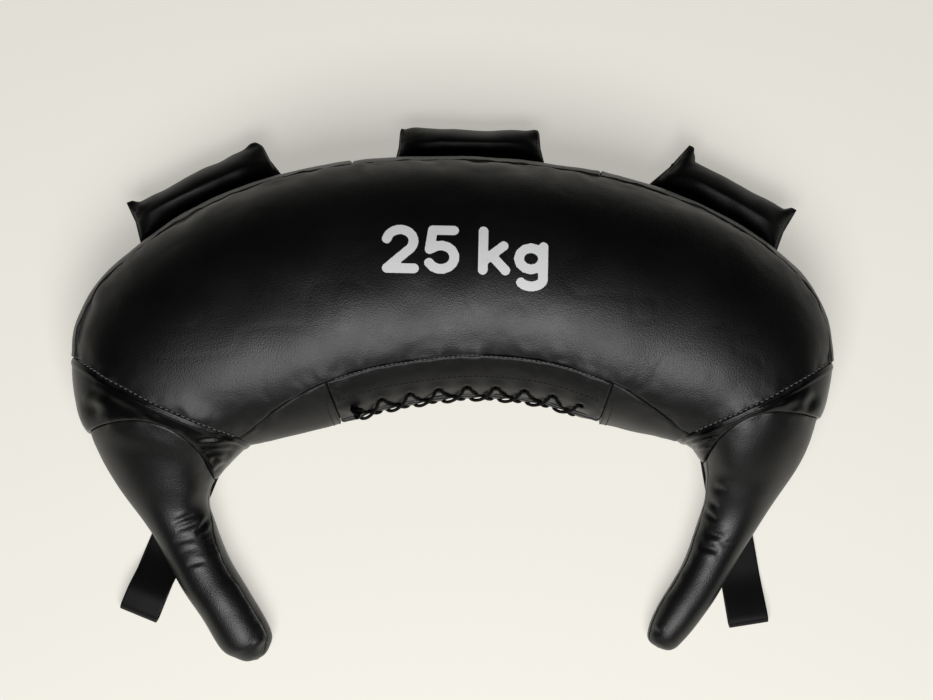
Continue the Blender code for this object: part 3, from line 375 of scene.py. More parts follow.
ANCHOR_END_ROOM = 0.0002
ANCHOR_POINTS = 22
RAY_BELOW = -0.1
RAY_ABOVE = 0.4

# Filling
LEATHER_ROOM = 0.005
LACING_ROOM = 0.0125
LACING_LEAD_ROWS = 0.9
LACING_EASE_ROWS = 0.8
LACING_EASE_ANGLE = 0.25
WADDING = 0.010
WADDING_END_ROWS = 0.02
WADDING_RINGS = 110
SACK_COUNT = 4
SACK_END = 0.022
SACK_GAP = 0.0006
SACK_SETTLE = 0.0008
SACK_MARGIN_SHARE = 0.02
SACK_END_SHARE = 0.1
SACK_ROUND_SHARE = 0.11
SACK_END_RINGS = 9
SACK_MIDDLE_RINGS = 30
PAD_LINES = 96
PAD_GAP = 0.0012
PAD_SHARES = np.linspace(0.1, 0.8, 12)
CORE_LINES = 96
CORE_GAP = 0.0006
CORE_NECK_RINGS = 2
CORE_TIP_RINGS = 10
HIDDEN_FLOOR_GAP = 0.002

# Finishes. Spans are ranges of noise or of waves, and tones the brightness that they are carried
# to. A weave has a pitch and a depth, and fibres or cells have a size and a depth.
NOISE_SPAN = (0.3, 0.7)
LEATHER_TONES = (0.82, 1.2)
GLOSS_CHANGES = (-0.04, 0.05)
WORN_SPAN = (0.2, 0.75)
WORN_SHARES = (0.0, 0.35)
WORN_COLOUR = (0.09, 0.09, 0.088)
PEBBLE_DEPTH = 0.00016
GRAIN_DEPTH = 0.0002
# The cloth's tone is darker where its threads dip: painted shade in the weave, times a random tone.
CLOTH_TONE_AND_WEAVE_SHADE_SPAN = (0.1, 0.6)
CLOTH_TONE_AND_WEAVE_SHADE = (0.6, 1.5)
BRAID_TURNS = 4
# The braid's tone is darker in the grooves between its strands: painted shade.
BRAID_GROOVE_SHADE_SPAN = (-0.5, 1.0)
BRAID_GROOVE_SHADE_TONES = (0.4, 1.5)
FELT_TONES = (0.7, 1.25)
LACE_WEAVE = (0.0022, 0.0003)
WEBBING_WEAVE = (0.0013, 0.00012)
CANVAS_WEAVE = (0.0014, 0.0003)
THREAD_FIBRES = (0.0006, 0.0001)
FELT_FIBRES = (0.003, 0.0006)
FOAM_CELLS = (0.0012, 0.0003)

# The mark. The net that it is cut from has a margin at its left and right, another below it, and a
# height, all in shares of the mark's height.
MARK_CENTRE = (0.0119, 0.1134)
MARK_HEIGHT = 0.044
MARK_STRETCH_SHARE = 1.13
MARK_WIDTH_SHARE = 3.06 * MARK_STRETCH_SHARE
MARK_HALF_STROKE_SHARE = 0.102
MARK_MARGIN_SHARE = 0.1
MARK_BELOW_SHARE = 0.45
MARK_NET_HEIGHT_SHARE = 1.6
MARK_KEPT_SHARE = 0.75
MARK_TURN = np.radians(-1.3)
MARK_CELL = 0.0007
MARK_RAISED = 0.00018
MARK_ARC_POINTS = 13

# Sampling: points that curves are read at, corners in the noise's lattice, and the least divisor
FINE_SHARES = np.linspace(0, 1, 81)
SEARCH_POINTS = 241
STRIP_POINTS = 240
LACE_ROW_POINTS = 400
RING_POINTS = 121
LATTICE_COUNT = 1024
LEAST_DIVISOR = 1e-12

# Camera, floor and light
TARGET = Vector((0.0133, 0.0338, 0.080))
CAMERA_DISTANCE = 2.2
CAMERA_TILT = np.radians(8.0)
SENSOR_WIDTH_MM = 36.0
PICTURE_WIDTH_THERE = 0.88635
FLOOR_SIZE = 12.0
FLOOR_COLOUR = (0.68, 0.662, 0.60)
FLOOR_GLOW = 0.50
FLOOR_GLOW_COLOUR = (0.885, 0.865, 0.79)
WORLD_LIGHT = 0.03
WORLD_COLOUR = (0.90, 0.95, 1.0)
LAMP_PLACE = Vector((0.0, -1.24, 2.1))
LAMP_TARGET = Vector((0.0, 0.05, 0.05))
LAMP_SIZE = 1.3
LAMP_POWER = 43


# Whole arrays

def travelled(points, axis=0):
    """Distance run along one direction of a grid of points: the sum of its steps from zero."""
    step = np.linalg.norm(np.diff(points, axis=axis), axis=-1)
    run = np.cumsum(step, axis=axis)
    return np.concatenate((np.zeros_like(np.take(run, [0], axis=axis)), run), axis=axis)


def read_lines(wanted, known, values):
    """Straight interpolation in each line of a table: values where the rising known ones are wanted."""
    wanted = np.broadcast_to(wanted, (len(known), np.shape(wanted)[-1]))
    after = (known[:, None, :] <= wanted[..., None]).sum(-1).clip(1, known.shape[1] - 1)
    low = np.take_along_axis(known, after - 1, 1)
    high = np.take_along_axis(known, after, 1)
    part = (wanted - low) / np.maximum(high - low, LEAST_DIVISOR)
    first, second = (np.take_along_axis(values, index, 1) for index in (after - 1, after))
    return first * (1 - part) + second * part


def noise(points, size, seed):
    """Smooth random heights from -1 to 1: values at lattice corners, eased between them."""
    chance = np.random.default_rng(seed)
    order, heights = chance.permutation(LATTICE_COUNT), chance.uniform(-1, 1, LATTICE_COUNT)
    place = np.asarray(points, dtype=float) / size
    cell = np.floor(place).astype(int)
    part = ease(place - cell)
    total = np.zeros(place.shape[:-1])
    for corner in itertools.product((0, 1), repeat=place.shape[-1]):
        number = np.zeros(place.shape[:-1], dtype=int)
        for axis, step in enumerate(corner):
            number = order[(number + cell[..., axis] + step) % LATTICE_COUNT]
        weight = np.prod(np.where(np.array(corner) == 1, part, 1 - part), axis=-1)
        total += weight * heights[number]
    return total


def ease(share):
    """From zero to one with level ends: 3 s^2 - 2 s^3."""
    share = np.clip(share, 0, 1)
    return share * share * (3 - 2 * share)


def fade(distance, reach, power=1):
    """One at no distance, falling off with it: e to the minus (distance / reach)^power."""
    return np.exp(-(distance / reach) ** power)


def signed_power(value, power):
    """The power of a value's size, with the value's own sign."""
    return np.sign(value) * np.abs(value) ** power


def turns(count):
    """Angles that part a full turn evenly."""
    return np.linspace(0, 2 * np.pi, count, endpoint=False)


def normals_of(grid, ring=False):
    """Outward unit normals: across the grid crossed with along it, where rows rise."""
    if ring:
        grid = np.concatenate((grid[:, -1:], grid, grid[:, :1]), axis=1)
    normal = np.cross(np.gradient(grid, axis=1), np.gradient(grid, axis=0))
    normal /= np.maximum(np.linalg.norm(normal, axis=-1, keepdims=True), LEAST_DIVISOR)
    return normal[:, 1:-1] if ring else normal


def graded(length, step):
    """Distances from zero to a length: close together at both ends and even between."""
    count = max(2, round((length - 2 * EDGE_STEPS[-1]) / step) + 1)
    middle = np.linspace(EDGE_STEPS[-1], length - EDGE_STEPS[-1], count)
    return np.concatenate((EDGE_STEPS[:-1], middle, length - EDGE_STEPS[-2::-1]))


# The bag's surface, as in the solid model

def sections(row):
    """The cross-section table between its rows: a cubic through both ends of each stretch, whose
    slope at each end is half the step from the row before it to the row after it."""
    row = np.clip(np.asarray(row, dtype=float), 0, LAST_ROW)
    start = np.minimum(row.astype(int), int(LAST_ROW) - 1)
    t = (row - start)[..., None]
    p0, p1, p2, p3 = (SECTION_SHARES[np.clip(start + k, 0, int(LAST_ROW))] for k in (-1, 0, 1, 2))
    return (p1 + 0.5 * t * (p2 - p0 + t * (2 * p0 - 5 * p1 + 4 * p2 - p3
            + t * (3 * (p1 - p2) + p3 - p0))))


def half_height(row):
    """Half the bag's thickness on a row."""
    return sections(row)[..., 4] * HALF_HEIGHT


def surface(row, angle, depth=0.0):
    """Skin points: a superellipse across each row, angle 0 outer, a quarter turn front, half inner."""
    row, angle, depth = np.broadcast_arrays(*(np.asarray(v, dtype=float) for v in (row, angle, depth)))
    share = sections(row)
    plan = np.array((HALF_LENGTH, HALF_DEPTH))
    outer, inner = share[..., 0:2] * plan, share[..., 2:4] * plan
    middle, arm = (outer + inner) / 2, (outer - inner) / 2
    half = np.maximum(np.linalg.norm(arm, axis=-1), LEAST_DIVISOR)
    height = share[..., 4] * HALF_HEIGHT
    exponent = np.where(np.sin(angle) >= 0, FRONT_EXPONENT, BACK_EXPONENT)
    across = signed_power(np.cos(angle), 2 / exponent) * np.maximum(half - depth, 0) / half
    rise = signed_power(np.sin(angle), 2 / exponent) * np.maximum(height - depth, 0)
    z = np.maximum(share[..., 5] * HORN_LIFT + height + rise, depth)
    return np.concatenate((middle + arm * across[..., None], z[..., None]), axis=-1)


def rise_angle(share, exponent):
    """The angle at which a cross-section stands at this share of its half thickness."""
    return np.arcsin(np.clip(share, 0, STEEPEST_SHARE) ** (exponent / 2))


def inner_seam_share(row):
    """The inner seams come together towards the corners between the body and the horns."""
    from_corner = np.minimum(row - LEFT_YOKE_ROW, RIGHT_YOKE_ROW - row) / SEAM_TURN_ROWS
    return INNER_CORNER_SHARE + (INNER_SEAM_SHARE - INNER_CORNER_SHARE) * ease(from_corner)


def seam_angles(row):
    """Angles of the long seams and the slit on each row, in turn from the outer back seam."""
    row = np.asarray(row, dtype=float)
    inner = inner_seam_share(row)
    slit = SLIT_HALF / half_height(row)
    return np.stack(np.broadcast_arrays(
        -rise_angle(OUTER_SEAM_SHARE, BACK_EXPONENT),
        rise_angle(OUTER_SEAM_SHARE, FRONT_EXPONENT),
        np.pi - rise_angle(inner, FRONT_EXPONENT),
        np.pi - rise_angle(slit, FRONT_EXPONENT),
        np.pi + rise_angle(slit, BACK_EXPONENT),
        np.pi + rise_angle(inner, BACK_EXPONENT),
        2 * np.pi - rise_angle(OUTER_SEAM_SHARE, BACK_EXPONENT)), axis=-1)


OUTER_BACK, OUTER_FRONT, INNER_FRONT, SLIT_FRONT, SLIT_BACK, INNER_BACK, OUTER_CLOSED = range(7)


def strip_angles(rows, first, last, shares):
    """Angles that part the strip between two seams by shares of its width along the skin."""
    stops = seam_angles(rows)
    fine = stops[:, first, None] + (stops[:, last] - stops[:, first])[:, None] * FINE_SHARES
    run = travelled(surface(np.asarray(rows)[:, None], fine), axis=1)
    return read_lines(np.asarray(shares), run / run[:, -1:], fine)


def plan_point(shares):
    """A place in plan, from its shares of the half length and the half depth."""
    return np.array(shares) * (HALF_LENGTH, HALF_DEPTH)


def circle_rows(side, centre_shares, radius, angles, search_rows):
    """The row at which each line of constant angle crosses a circle seen in plan: looked for from
    so many rows outside the yoke's row to so many inside it, and read between two rows."""
    middle, inward = YOKE_ROWS[side], INWARD[side]
    rows = np.linspace(middle - search_rows[0] * inward, middle + search_rows[1] * inward,
                       SEARCH_POINTS)
    reach = surface(rows[:, None], angles[None, :])[..., 0:2] - plan_point(centre_shares)
    away = np.linalg.norm(reach, axis=-1) - radius
    first = np.argmax(np.sign(away[:-1]) != np.sign(away[1:]), axis=0)
    lines = np.arange(len(angles))
    before, after = away[first, lines], away[first + 1, lines]
    return rows[first] + (rows[first + 1] - rows[first]) * before / (before - after)


def yoke_rows(side, angles):
    """The row of the seam between the body and the yoke, at each angle round it."""
    return circle_rows(side, YOKE_CENTRE_SHARES[side], YOKE_ARC_RADIUS, angles, YOKE_SEARCH_ROWS)


def horn_rows(side, angles):
    """The row of the seam between the yoke and the horn. It is drawn inwards on the outer side by
    the square of the angle's cosine."""
    rows = circle_rows(side, HORN_CENTRE_SHARES[side], HORN_ARC_RADIUS, angles, HORN_SEARCH_ROWS)
    return rows + INWARD[side] * HORN_SEAM_LEVEL_ROWS * np.maximum(np.cos(angles), 0) ** 2


def strip_places(base, first, last, shares):
    """Rows and angles of a strip of the body. Near the yokes the rows lean over to their seams."""
    angles = strip_angles(base, first, last, shares)
    rows = np.repeat(base[:, None], angles.shape[1], axis=1)
    for side, inward in INWARD.items():
        row = YOKE_ROWS[side]
        seam = yoke_rows(side, strip_angles(np.array((row,)), first, last, shares)[0])
        near = np.clip(1 - inward * (base - row) / SEAM_TURN_ROWS, 0, 1)
        rows = rows + near[:, None] * (seam - row)
    return rows, angles


def body_strip(ends, first, last, step):
    """The grid of one body panel, with lines of even width that crowd together at its edges."""
    fine = np.linspace(*ends, STRIP_POINTS)
    middle = surface(*strip_places(fine, first, last, np.array((0.5,))))
    run = travelled(middle)[:, 0]
    base = np.interp(graded(run[-1], step), run, fine)
    wide = surface(*strip_places(np.array((np.mean(ends),)), first, last, FINE_SHARES))
    width = travelled(wide, axis=1)[0, -1]
    return surface(*strip_places(base, first, last, graded(width, step) / width))


# Relief of the leather

def from_edges(grid):
    """Distances of each point of a grid from its two ends and from its two sides."""
    along, across = travelled(grid, 0), travelled(grid, 1)
    ends = np.minimum(along, along[-1:] - along)
    sides = np.minimum(across, across[:, -1:] - across)
    return ends, sides


def rounding(distance, radius=SEAM_ROUNDING):
    """A quarter circle down at an edge."""
    return radius * (1 - np.sqrt(1 - (1 - np.clip(distance / radius, 0, 1)) ** 2))


def bead(distance, place, width, height):
    """A bead along a seam: height times e to the minus ((distance - place) / width)^2."""
    return height * fade(distance - place, width, 2)


def puckers(grid, distance, seed, kind):
    """Small gathers that run away from a seam: noise with half as much of a finer one, faded."""
    height, reach = PUCKERS[kind]
    stretched = grid / PUCKER_SIZES
    ripple = noise(stretched, 1.0, seed) + 0.5 * noise(stretched * PUCKER_FINENESS, 1.0, seed + 1)
    return height * ripple * fade(distance, reach)


def gathers(grid, distance, seed):
    """Soft dents a finger wide that a seam pulls into the leather, gone at a few times the reach."""
    detail = GATHER_DETAIL_SHARE * noise(grid, GATHER_SIZE / 2, seed + 1)
    dent = np.minimum(noise(grid, GATHER_SIZE, seed) + detail, GATHER_MOST_SHARE)
    reached = ease(distance / GATHER_START) * fade(distance, GATHER_REACH, GATHER_FADE_POWER)
    return GATHER_HEIGHT * dent * reached


def lumps(grid, seed, kind):
    """The filling's unevenness: wide noise and a share of a finer one."""
    height, size = LUMPS[kind]
    detail = LUMP_DETAIL_SHARE * noise(grid, size / LUMP_FINENESS, seed + 1)
    return height * (noise(grid, size, seed) + detail)


def creases(grid, seed):
    """Thin valleys along the zero lines of smooth noise, as deep as 1 - |noise| / width to a power."""
    valley = np.clip(1 - np.abs(noise(grid, CREASE_SIZE, seed)) / CREASE_WIDTH_SHARE, 0, 1)
    return -CREASE_DEPTH * valley ** CREASE_POWER


def folds(grid, lines):
    """Folds on the front, seen in plan. At g widths from its line each is e^(-g^2) high, less a
    trough of the same form beside it, and it dies out at both ends of the line. All ease out
    where the leather turns to face down."""
    total = np.zeros(grid.shape[:-1])
    front = ease((normals_of(grid, ring=True)[..., 2] - FOLD_FACING_START_SHARE) / FOLD_FACING_EASE_SHARE)
    for x0, y0, x1, y1, width, height in lines:
        start, step = np.array((x0, y0)), np.array((x1 - x0, y1 - y0))
        away = grid[..., 0:2] - start
        part = np.clip(away @ step / (step @ step), 0, 1)
        nearest = start + part[..., None] * step
        gap = np.linalg.norm(grid[..., 0:2] - nearest, axis=-1) / width
        trough = FOLD_TROUGH_SHARE * np.exp(-(gap - FOLD_TROUGH_WIDTHS) ** 2)
        total += height * np.sin(np.pi * part) ** FOLD_FADE_POWER * (np.exp(-gap ** 2) - trough)
    return total * front


# Pieces

def grid_faces(shape, ring=False):
    """Quads of a grid, facing the way that across crossed with along points."""
    number = np.arange(shape[0] * shape[1]).reshape(shape)
    if ring:
        number = np.concatenate((number, number[:, :1]), axis=1)
    corners = (number[:-1, :-1], number[:-1, 1:], number[1:, 1:], number[1:, :-1])
    return np.stack(corners, axis=-1).reshape(-1, 4)


def capped_faces(shape):
    """Quads between rings of points, and one flat face at each end."""
    count, sides = shape[0] * shape[1], shape[1]
    caps = [list(range(sides))[::-1], list(range(count - sides, count))]
    return grid_faces(shape, ring=True).tolist() + caps


def add_object(name, data):
    """A new object at the origin, linked to the scene."""
    thing = bpy.data.objects.new(name, data)
    bpy.context.scene.collection.objects.link(thing)
    return thing


def new_piece(name, points, faces, finish, uv=None, **values):
    """A smooth mesh from whole arrays, with metres as its UV map and named values on its points."""
    mesh = bpy.data.meshes.new(name)
    mesh.from_pydata(np.asarray(points).reshape(-1, 3).tolist(), [], [list(f) for f in faces])
    mesh.shade_smooth()
    mesh.materials.append(finish)
    if uv is not None:
        corner = np.empty(len(mesh.loops), dtype=int)
        mesh.loops.foreach_get("vertex_index", corner)
        layer = mesh.uv_layers.new(name="cloth")
        layer.data.foreach_set("uv", np.asarray(uv).reshape(-1, 2)[corner].ravel())
    for key, value in values.items():
        layer = mesh.attributes.new(key, "FLOAT", "POINT")
        layer.data.foreach_set("value", np.asarray(value, dtype=np.float32).ravel())
    return add_object(name, mesh)


def closed_rings(name, rings, finish, poles=None, uv=None, wear=None):
    """Rings of points whose open ends are closed by a wheel of triangles round a pole. Unless
    other poles are given, there is one in the middle of each end."""
    poles = poles or {end: rings[end].mean(axis=0) for end in (0, -1)}
    count, sides = rings.shape[0] * rings.shape[1], rings.shape[1]
    faces = grid_faces(rings.shape[:2], ring=True).tolist()
    ring = np.arange(sides)
    for number, end in enumerate(poles):
        start, way = (0, -1) if end == 0 else (count - sides, 1)
        wheel = np.stack((start + ring, start + np.roll(ring, -1), np.full(sides, count + number)), 1)
        faces += wheel[:, ::way].tolist()
    points = np.concatenate((rings.reshape(-1, 3), np.stack(list(poles.values()))))
    if uv is not None:
        uv = np.concatenate((uv.reshape(-1, 2), *(uv[end, :1] for end in poles)))
    values = {} if wear is None else {"wear": np.append(wear.ravel(), np.ones(len(poles)))}
    return new_piece(name, points, faces, finish, uv=uv, **values)


def thicken(piece, thickness=LEATHER, offset=-1):
    """Gives a sheet its thickness: on the inside, or with no offset on both sides."""
    wall = piece.modifiers.new("thickness", "SOLIDIFY")
    wall.thickness = thickness
    wall.offset = offset
    return piece


def stand_for(piece, slot, *nodes, fill=None):
    """Hides the parts of the solid model that a piece stands for. What it is made of and how full it is are
    not used.
    """
    if nodes:
        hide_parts(*nodes)
    return piece


def fix(piece, body, slot, *nodes, fill=None):
    """Hangs a piece on the body that it rides on, and hides the parts that it stands for."""
    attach(piece, body)
    return stand_for(piece, slot, *nodes, fill=fill)


def above_floor(points, height=FLOOR_GAP):
    """Lifts the points that lie lower than a height above the floor up to it."""
    points[..., 2] = np.maximum(points[..., 2], height)
    return points


def raised(grid, normal, relief):
    """A grid moved by its relief along its normals, and kept above the floor."""
    return above_floor(grid + normal * relief[..., None])


def tucked(grid, normal, axes=(0, 1)):
    """Adds a border line at the edges of a grid, turned straight in under the leather."""
    for axis in axes:
        lines, across = np.moveaxis(grid, axis, 0), np.moveaxis(normal, axis, 0)
        first, last = lines[0] - across[0] * TUCK_DEPTH, lines[-1] - across[-1] * TUCK_DEPTH
        grid = np.moveaxis(np.concatenate((first[None], lines, last[None])), 0, axis)
        normal = np.moveaxis(np.concatenate((across[:1], across, across[-1:])), 0, axis)
    return grid


def drawn_back(grid, axes=(0, 1)):
    """Moves the edges of a grid inwards, which leaves the line of the seam open. They move by the
    seam's half gap, and by no more than a share of the way to the next line."""
    grid = grid.copy()
    for axis in axes:
        lines = np.moveaxis(grid, axis, 0)
        for edge, inside in ((0, 1), (-1, -2)):
            step = lines[inside] - lines[edge]
            length = np.linalg.norm(step, axis=-1, keepdims=True)
            lines[edge] += step / length * np.minimum(SEAM_HALF_GAP, SEAM_DRAWN_SHARE * length)
    return grid


def leather_panel(name, slot, node, grid, finish, relief, seed, fill=0.9, holes=None):
    """A sewn panel: its grid raised by the relief, rounded off and turned in at all its edges.
    Gives the piece, and the grid that is seen with its normals."""
    grid = drawn_back(grid)
    normal = normals_of(grid)
    ends, sides = from_edges(grid)
    edge = np.minimum(ends, sides)
    height = relief - rounding(ends) - rounding(sides)
    height += puckers(grid, edge, seed, "panel")
    shown = raised(grid, normal, height)
    wear = np.pad(fade(edge, WEAR_REACH), 1, mode="edge")
    points = above_floor(tucked(shown, normal))
    faces = grid_faces(points.shape[:2])
    points, wear = points.reshape(-1, 3), wear.ravel()
    if holes is not None:
        points, faces, used = punched(points, faces, holes)
        wear = wear[used]
    piece = thicken(new_piece(name, points, faces, finish, wear=wear))
    fix(piece, "root", slot, node, fill=fill)
    return piece, shown, normals_of(shown)


# Sewing

def capsule():
    """One stitch along X: a round thread that dips at both ends, as rings with flat ends."""
    along, girth, rise = STITCH_RING_SHARES.T * ((STITCH_LENGTH,), (STITCH_RADIUS,), (STITCH_RADIUS,))
    turn = turns(STITCH_SIDES)
    ring = np.stack(np.broadcast_arrays(
        along[:, None], girth[:, None] * np.sin(turn), rise[:, None] + girth[:, None] * np.cos(turn)), -1)
    return ring.reshape(-1, 3), capped_faces(ring.shape[:2])


def stitches(name, lines, finish, body, slot, pitch=STITCH_PITCH, lift=0.0, size=1.0):
    """Rows of stitches along lines of points with normals, one thread copied to every place."""
    shape, faces = capsule()
    shape = shape * (1, size, size)
    points = []
    for line, normal in lines:
        run = travelled(line)
        places = np.arange(pitch / 2, run[-1], pitch)
        centre, up = (np.stack([np.interp(places, run, value[:, k]) for k in range(3)], -1)
                      for value in (line, normal))
        along = np.gradient(centre, axis=0)
        along /= np.linalg.norm(along, axis=-1, keepdims=True)
        up -= (up * along).sum(-1, keepdims=True) * along
        up /= np.linalg.norm(up, axis=-1, keepdims=True)
        axes = np.stack((along, np.cross(up, along), up), axis=1)
        centre = centre + up * lift
        points.append((centre[:, None] + np.einsum("vk,nkj->nvj", shape, axes)).reshape(-1, 3))
    points = np.concatenate(points)
    copied = [[corner + start for corner in face]
              for start in range(0, len(points), len(shape)) for face in faces]
    return fix(new_piece(name, points, copied, finish), body, slot)


def beside(grid, normal, axis, end, distance, trim=0):
    """The line on a grid that runs at a distance from one of its edges, with its normals. As many
    points as the trim says are left off at both ends."""
    lines, across = np.moveaxis(grid, axis, 1), np.moveaxis(normal, axis, 1)
    if end:
        lines, across = lines[:, ::-1], across[:, ::-1]
    run = travelled(lines, axis=1)
    wanted = np.array((distance,))
    place, up = (np.stack([read_lines(wanted, run, value[..., k])[:, 0] for k in range(3)], -1)
                 for value in (lines, across))
    return (place[trim:-trim], up[trim:-trim]) if trim else (place, up)


# Finishes

class Graph:
    """A new material and short ways to build its nodes."""

    def __init__(self, name):
        self.material = bpy.data.materials.new(name)
        self.material.use_nodes = True
        self.tree = self.material.node_tree
        self.shader = self.tree.nodes["Principled BSDF"]

    def give(self, node, inputs):
        """Sets a node's inputs: a socket is linked, and any other value stands on the input."""
        for key, value in inputs.items():
            if isinstance(value, bpy.types.NodeSocket):
                self.tree.links.new(value, node.inputs[key])
            else:
                node.inputs[key].default_value = value
        return node

    def add(self, kind, inputs=(), **settings):
        """Adds a node with its settings and its inputs."""
        node = self.tree.nodes.new("ShaderNode" + kind)
        for key, value in settings.items():
            setattr(node, key, value)
        return self.give(node, dict(inputs))

    def math(self, operation, *values):
        """One step of arithmetic."""
        return self.add("Math", enumerate(values), operation=operation).outputs[0]

    def mapped(self, value, known, wanted):
        """A value carried evenly from one range to another and held at its ends."""
        return self.add("MapRange", enumerate((value, *known, *wanted))).outputs[0]

    def finished(self, colour, tone, relief, **constants):
        """The material, once its colour is toned, its relief set, and its constants stand on the
        shader's inputs of the same names."""
        shade = self.add("HueSaturation", {"Color": colour, "Value": tone})
        self.give(self.shader, {"Base Color": shade.outputs["Color"], "Normal": relief.outputs[0]})
        self.give(self.shader, {key.replace("_", " "): value for key, value in constants.items()})
        return self.material


def leather(name, colour, roughness, shine):
    """Coated leather: a pebbled grain, a cloudy tone and gloss, and a lighter rub where wear times
    fine noise is high."""
    graph = Graph(name)
    place = graph.add("TexCoord").outputs["Object"]
    cloud = graph.add("TexNoise", {"Vector": place, "Scale": 14.0, "Detail": 4.0}).outputs["Fac"]
    fine = graph.add("TexNoise", {"Vector": place, "Scale": 160.0, "Detail": 5.0}).outputs["Fac"]
    pebble = graph.add("TexVoronoi", {"Vector": place, "Scale": 820.0, "Smoothness": 0.35},
                       feature="SMOOTH_F1").outputs["Distance"]
    wear = graph.add("Attribute", attribute_name="wear").outputs["Fac"]
    worn = graph.mapped(graph.math("MULTIPLY", wear, fine), WORN_SPAN, WORN_SHARES)
    tone = graph.mapped(cloud, NOISE_SPAN, LEATHER_TONES)
    gloss = graph.mapped(cloud, NOISE_SPAN, [roughness + change for change in GLOSS_CHANGES])
    base = graph.add("Mix", {"Factor": worn, "A": (*colour, 1), "B": (*WORN_COLOUR, 1)}, data_type="RGBA")
    first = graph.add("Bump", {"Height": pebble, "Distance": PEBBLE_DEPTH, "Strength": 0.8})
    second = graph.add("Bump", {"Height": fine, "Distance": GRAIN_DEPTH, "Strength": 0.28,
                                "Normal": first.outputs[0]})
    graph.give(graph.shader, {"Specular IOR Level": shine})
    return graph.finished(base.outputs["Result"], tone, second, Roughness=gloss)


def cloth(name, colour, roughness, pitch, depth, sheen):
    """Woven cloth on the piece's own UV map in metres: the product of two sine waves of one pitch,
    along it and across it, is high where a thread runs over. Times random noise it also sets the
    colour, darker where the threads dip: painted shade in the weave, with a random tone."""
    graph = Graph(name)
    part = graph.add("SeparateXYZ", {0: graph.add("UVMap").outputs["UV"]})
    waves = [graph.math("SINE", graph.math("MULTIPLY", part.outputs[k], 2 * np.pi / pitch)) for k in (0, 1)]
    height = graph.mapped(graph.math("MULTIPLY", *waves), (-1.0, 1.0), (0.0, 1.0))
    spread = graph.add("TexNoise", {"Vector": graph.add("TexCoord").outputs["Object"], "Scale": 90.0,
                                    "Detail": 4.0}).outputs["Fac"]
    # Darker where a thread dips under: painted shade in the weave, times a random cloud.
    tone = graph.mapped(graph.math("MULTIPLY", height, spread), CLOTH_TONE_AND_WEAVE_SHADE_SPAN, CLOTH_TONE_AND_WEAVE_SHADE)
    bump = graph.add("Bump", {"Height": height, "Distance": depth, "Strength": 0.9})
    graph.give(graph.shader, {"Specular IOR Level": 0.25, "Sheen Weight": sheen})
    return graph.finished((*colour, 1), tone, bump, Roughness=roughness)


def braid(name, colour, roughness, pitch, depth):
    """Round braid on the piece's own UV map: the higher of two sine waves that cross, one of them
    turning left round the cord and the other right. It also darkens the colour in the grooves between
    the strands: painted shade."""
    graph = Graph(name)
    part = graph.add("SeparateXYZ", {0: graph.add("UVMap").outputs["UV"]})
    along = graph.math("MULTIPLY", part.outputs[0], 2 * np.pi / pitch)
    around = graph.math("MULTIPLY", part.outputs[1], 2 * np.pi * BRAID_TURNS)
    waves = [graph.math("SINE", graph.math(way, along, around)) for way in ("ADD", "SUBTRACT")]
    height = graph.math("MAXIMUM", *waves)
    # Darker in the grooves between strands: painted shade.
    tone = graph.mapped(height, BRAID_GROOVE_SHADE_SPAN, BRAID_GROOVE_SHADE_TONES)
    bump = graph.add("Bump", {"Height": height, "Distance": depth, "Strength": 1.0})
    graph.give(graph.shader, {"Specular IOR Level": 0.12})
    return graph.finished((*colour, 1), tone, bump, Roughness=roughness)


def felt(name, colour, roughness, size, depth):
    """Matted fibres, thread or foam: fine noise in colour and height."""
    graph = Graph(name)
    place = graph.add("TexCoord").outputs["Object"]
    fibre = graph.add("TexNoise", {"Vector": place, "Scale": 1 / size, "Detail": 6.0,
                                   "Distortion": 0.8}).outputs["Fac"]
    tone = graph.mapped(fibre, NOISE_SPAN, FELT_TONES)
    bump = graph.add("Bump", {"Height": fibre, "Distance": depth, "Strength": 0.8})
    return graph.finished((*colour, 1), tone, bump, Roughness=roughness)


def plain(name, colour, roughness):
    """One even colour."""
    graph = Graph(name)
    graph.give(graph.shader, {"Base Color": (*colour, 1), "Roughness": roughness})
    return graph.material


PANEL_LEATHER = leather("panel_leather", (0.0010, 0.0010, 0.0011), 0.41, 0.44)
GUSSET_LEATHER = leather("gusset_leather", (0.0040, 0.0040, 0.0041), 0.44, 0.36)
PLACKET_LEATHER = leather("placket_leather", (0.0015, 0.0015, 0.0016), 0.42, 0.34)
YOKE_LEATHER = leather("yoke_leather", (0.0010, 0.0010, 0.0011), 0.29, 0.24)
HORN_LEATHER = leather("horn_leather", (0.0012, 0.0012, 0.0013), 0.41, 0.56)
GRIP_LEATHER = leather("grip_leather", (0.0010, 0.0010, 0.0011), 0.45, 0.36)
LACE_BRAID = braid("lace_braid", (0.0008, 0.0008, 0.0009), 0.75, *LACE_WEAVE)
WEBBING_CLOTH = cloth("webbing_cloth", (0.0014, 0.0014, 0.0015), 0.55, *WEBBING_WEAVE, sheen=0.0)
# The grey of this thread is a painted highlight: it stands in for light caught by dark stitches.
THREAD_PAINTED_HIGHLIGHT = felt("thread", (0.12, 0.12, 0.118), 0.55, *THREAD_FIBRES)
DARK_THREAD = felt("dark_thread", (0.0025, 0.0025, 0.0025), 0.6, *THREAD_FIBRES)
FELT = felt("felt", (0.36, 0.35, 0.32), 0.95, *FELT_FIBRES)
FOAM = felt("foam", (0.11, 0.11, 0.11), 0.9, *FOAM_CELLS)
CANVAS = cloth("canvas", (0.42, 0.38, 0.30), 0.85, *CANVAS_WEAVE, sheen=0.1)
PRINT_WHITE = plain("print_white", (0.96, 0.96, 0.96), 0.55)


# Body panels

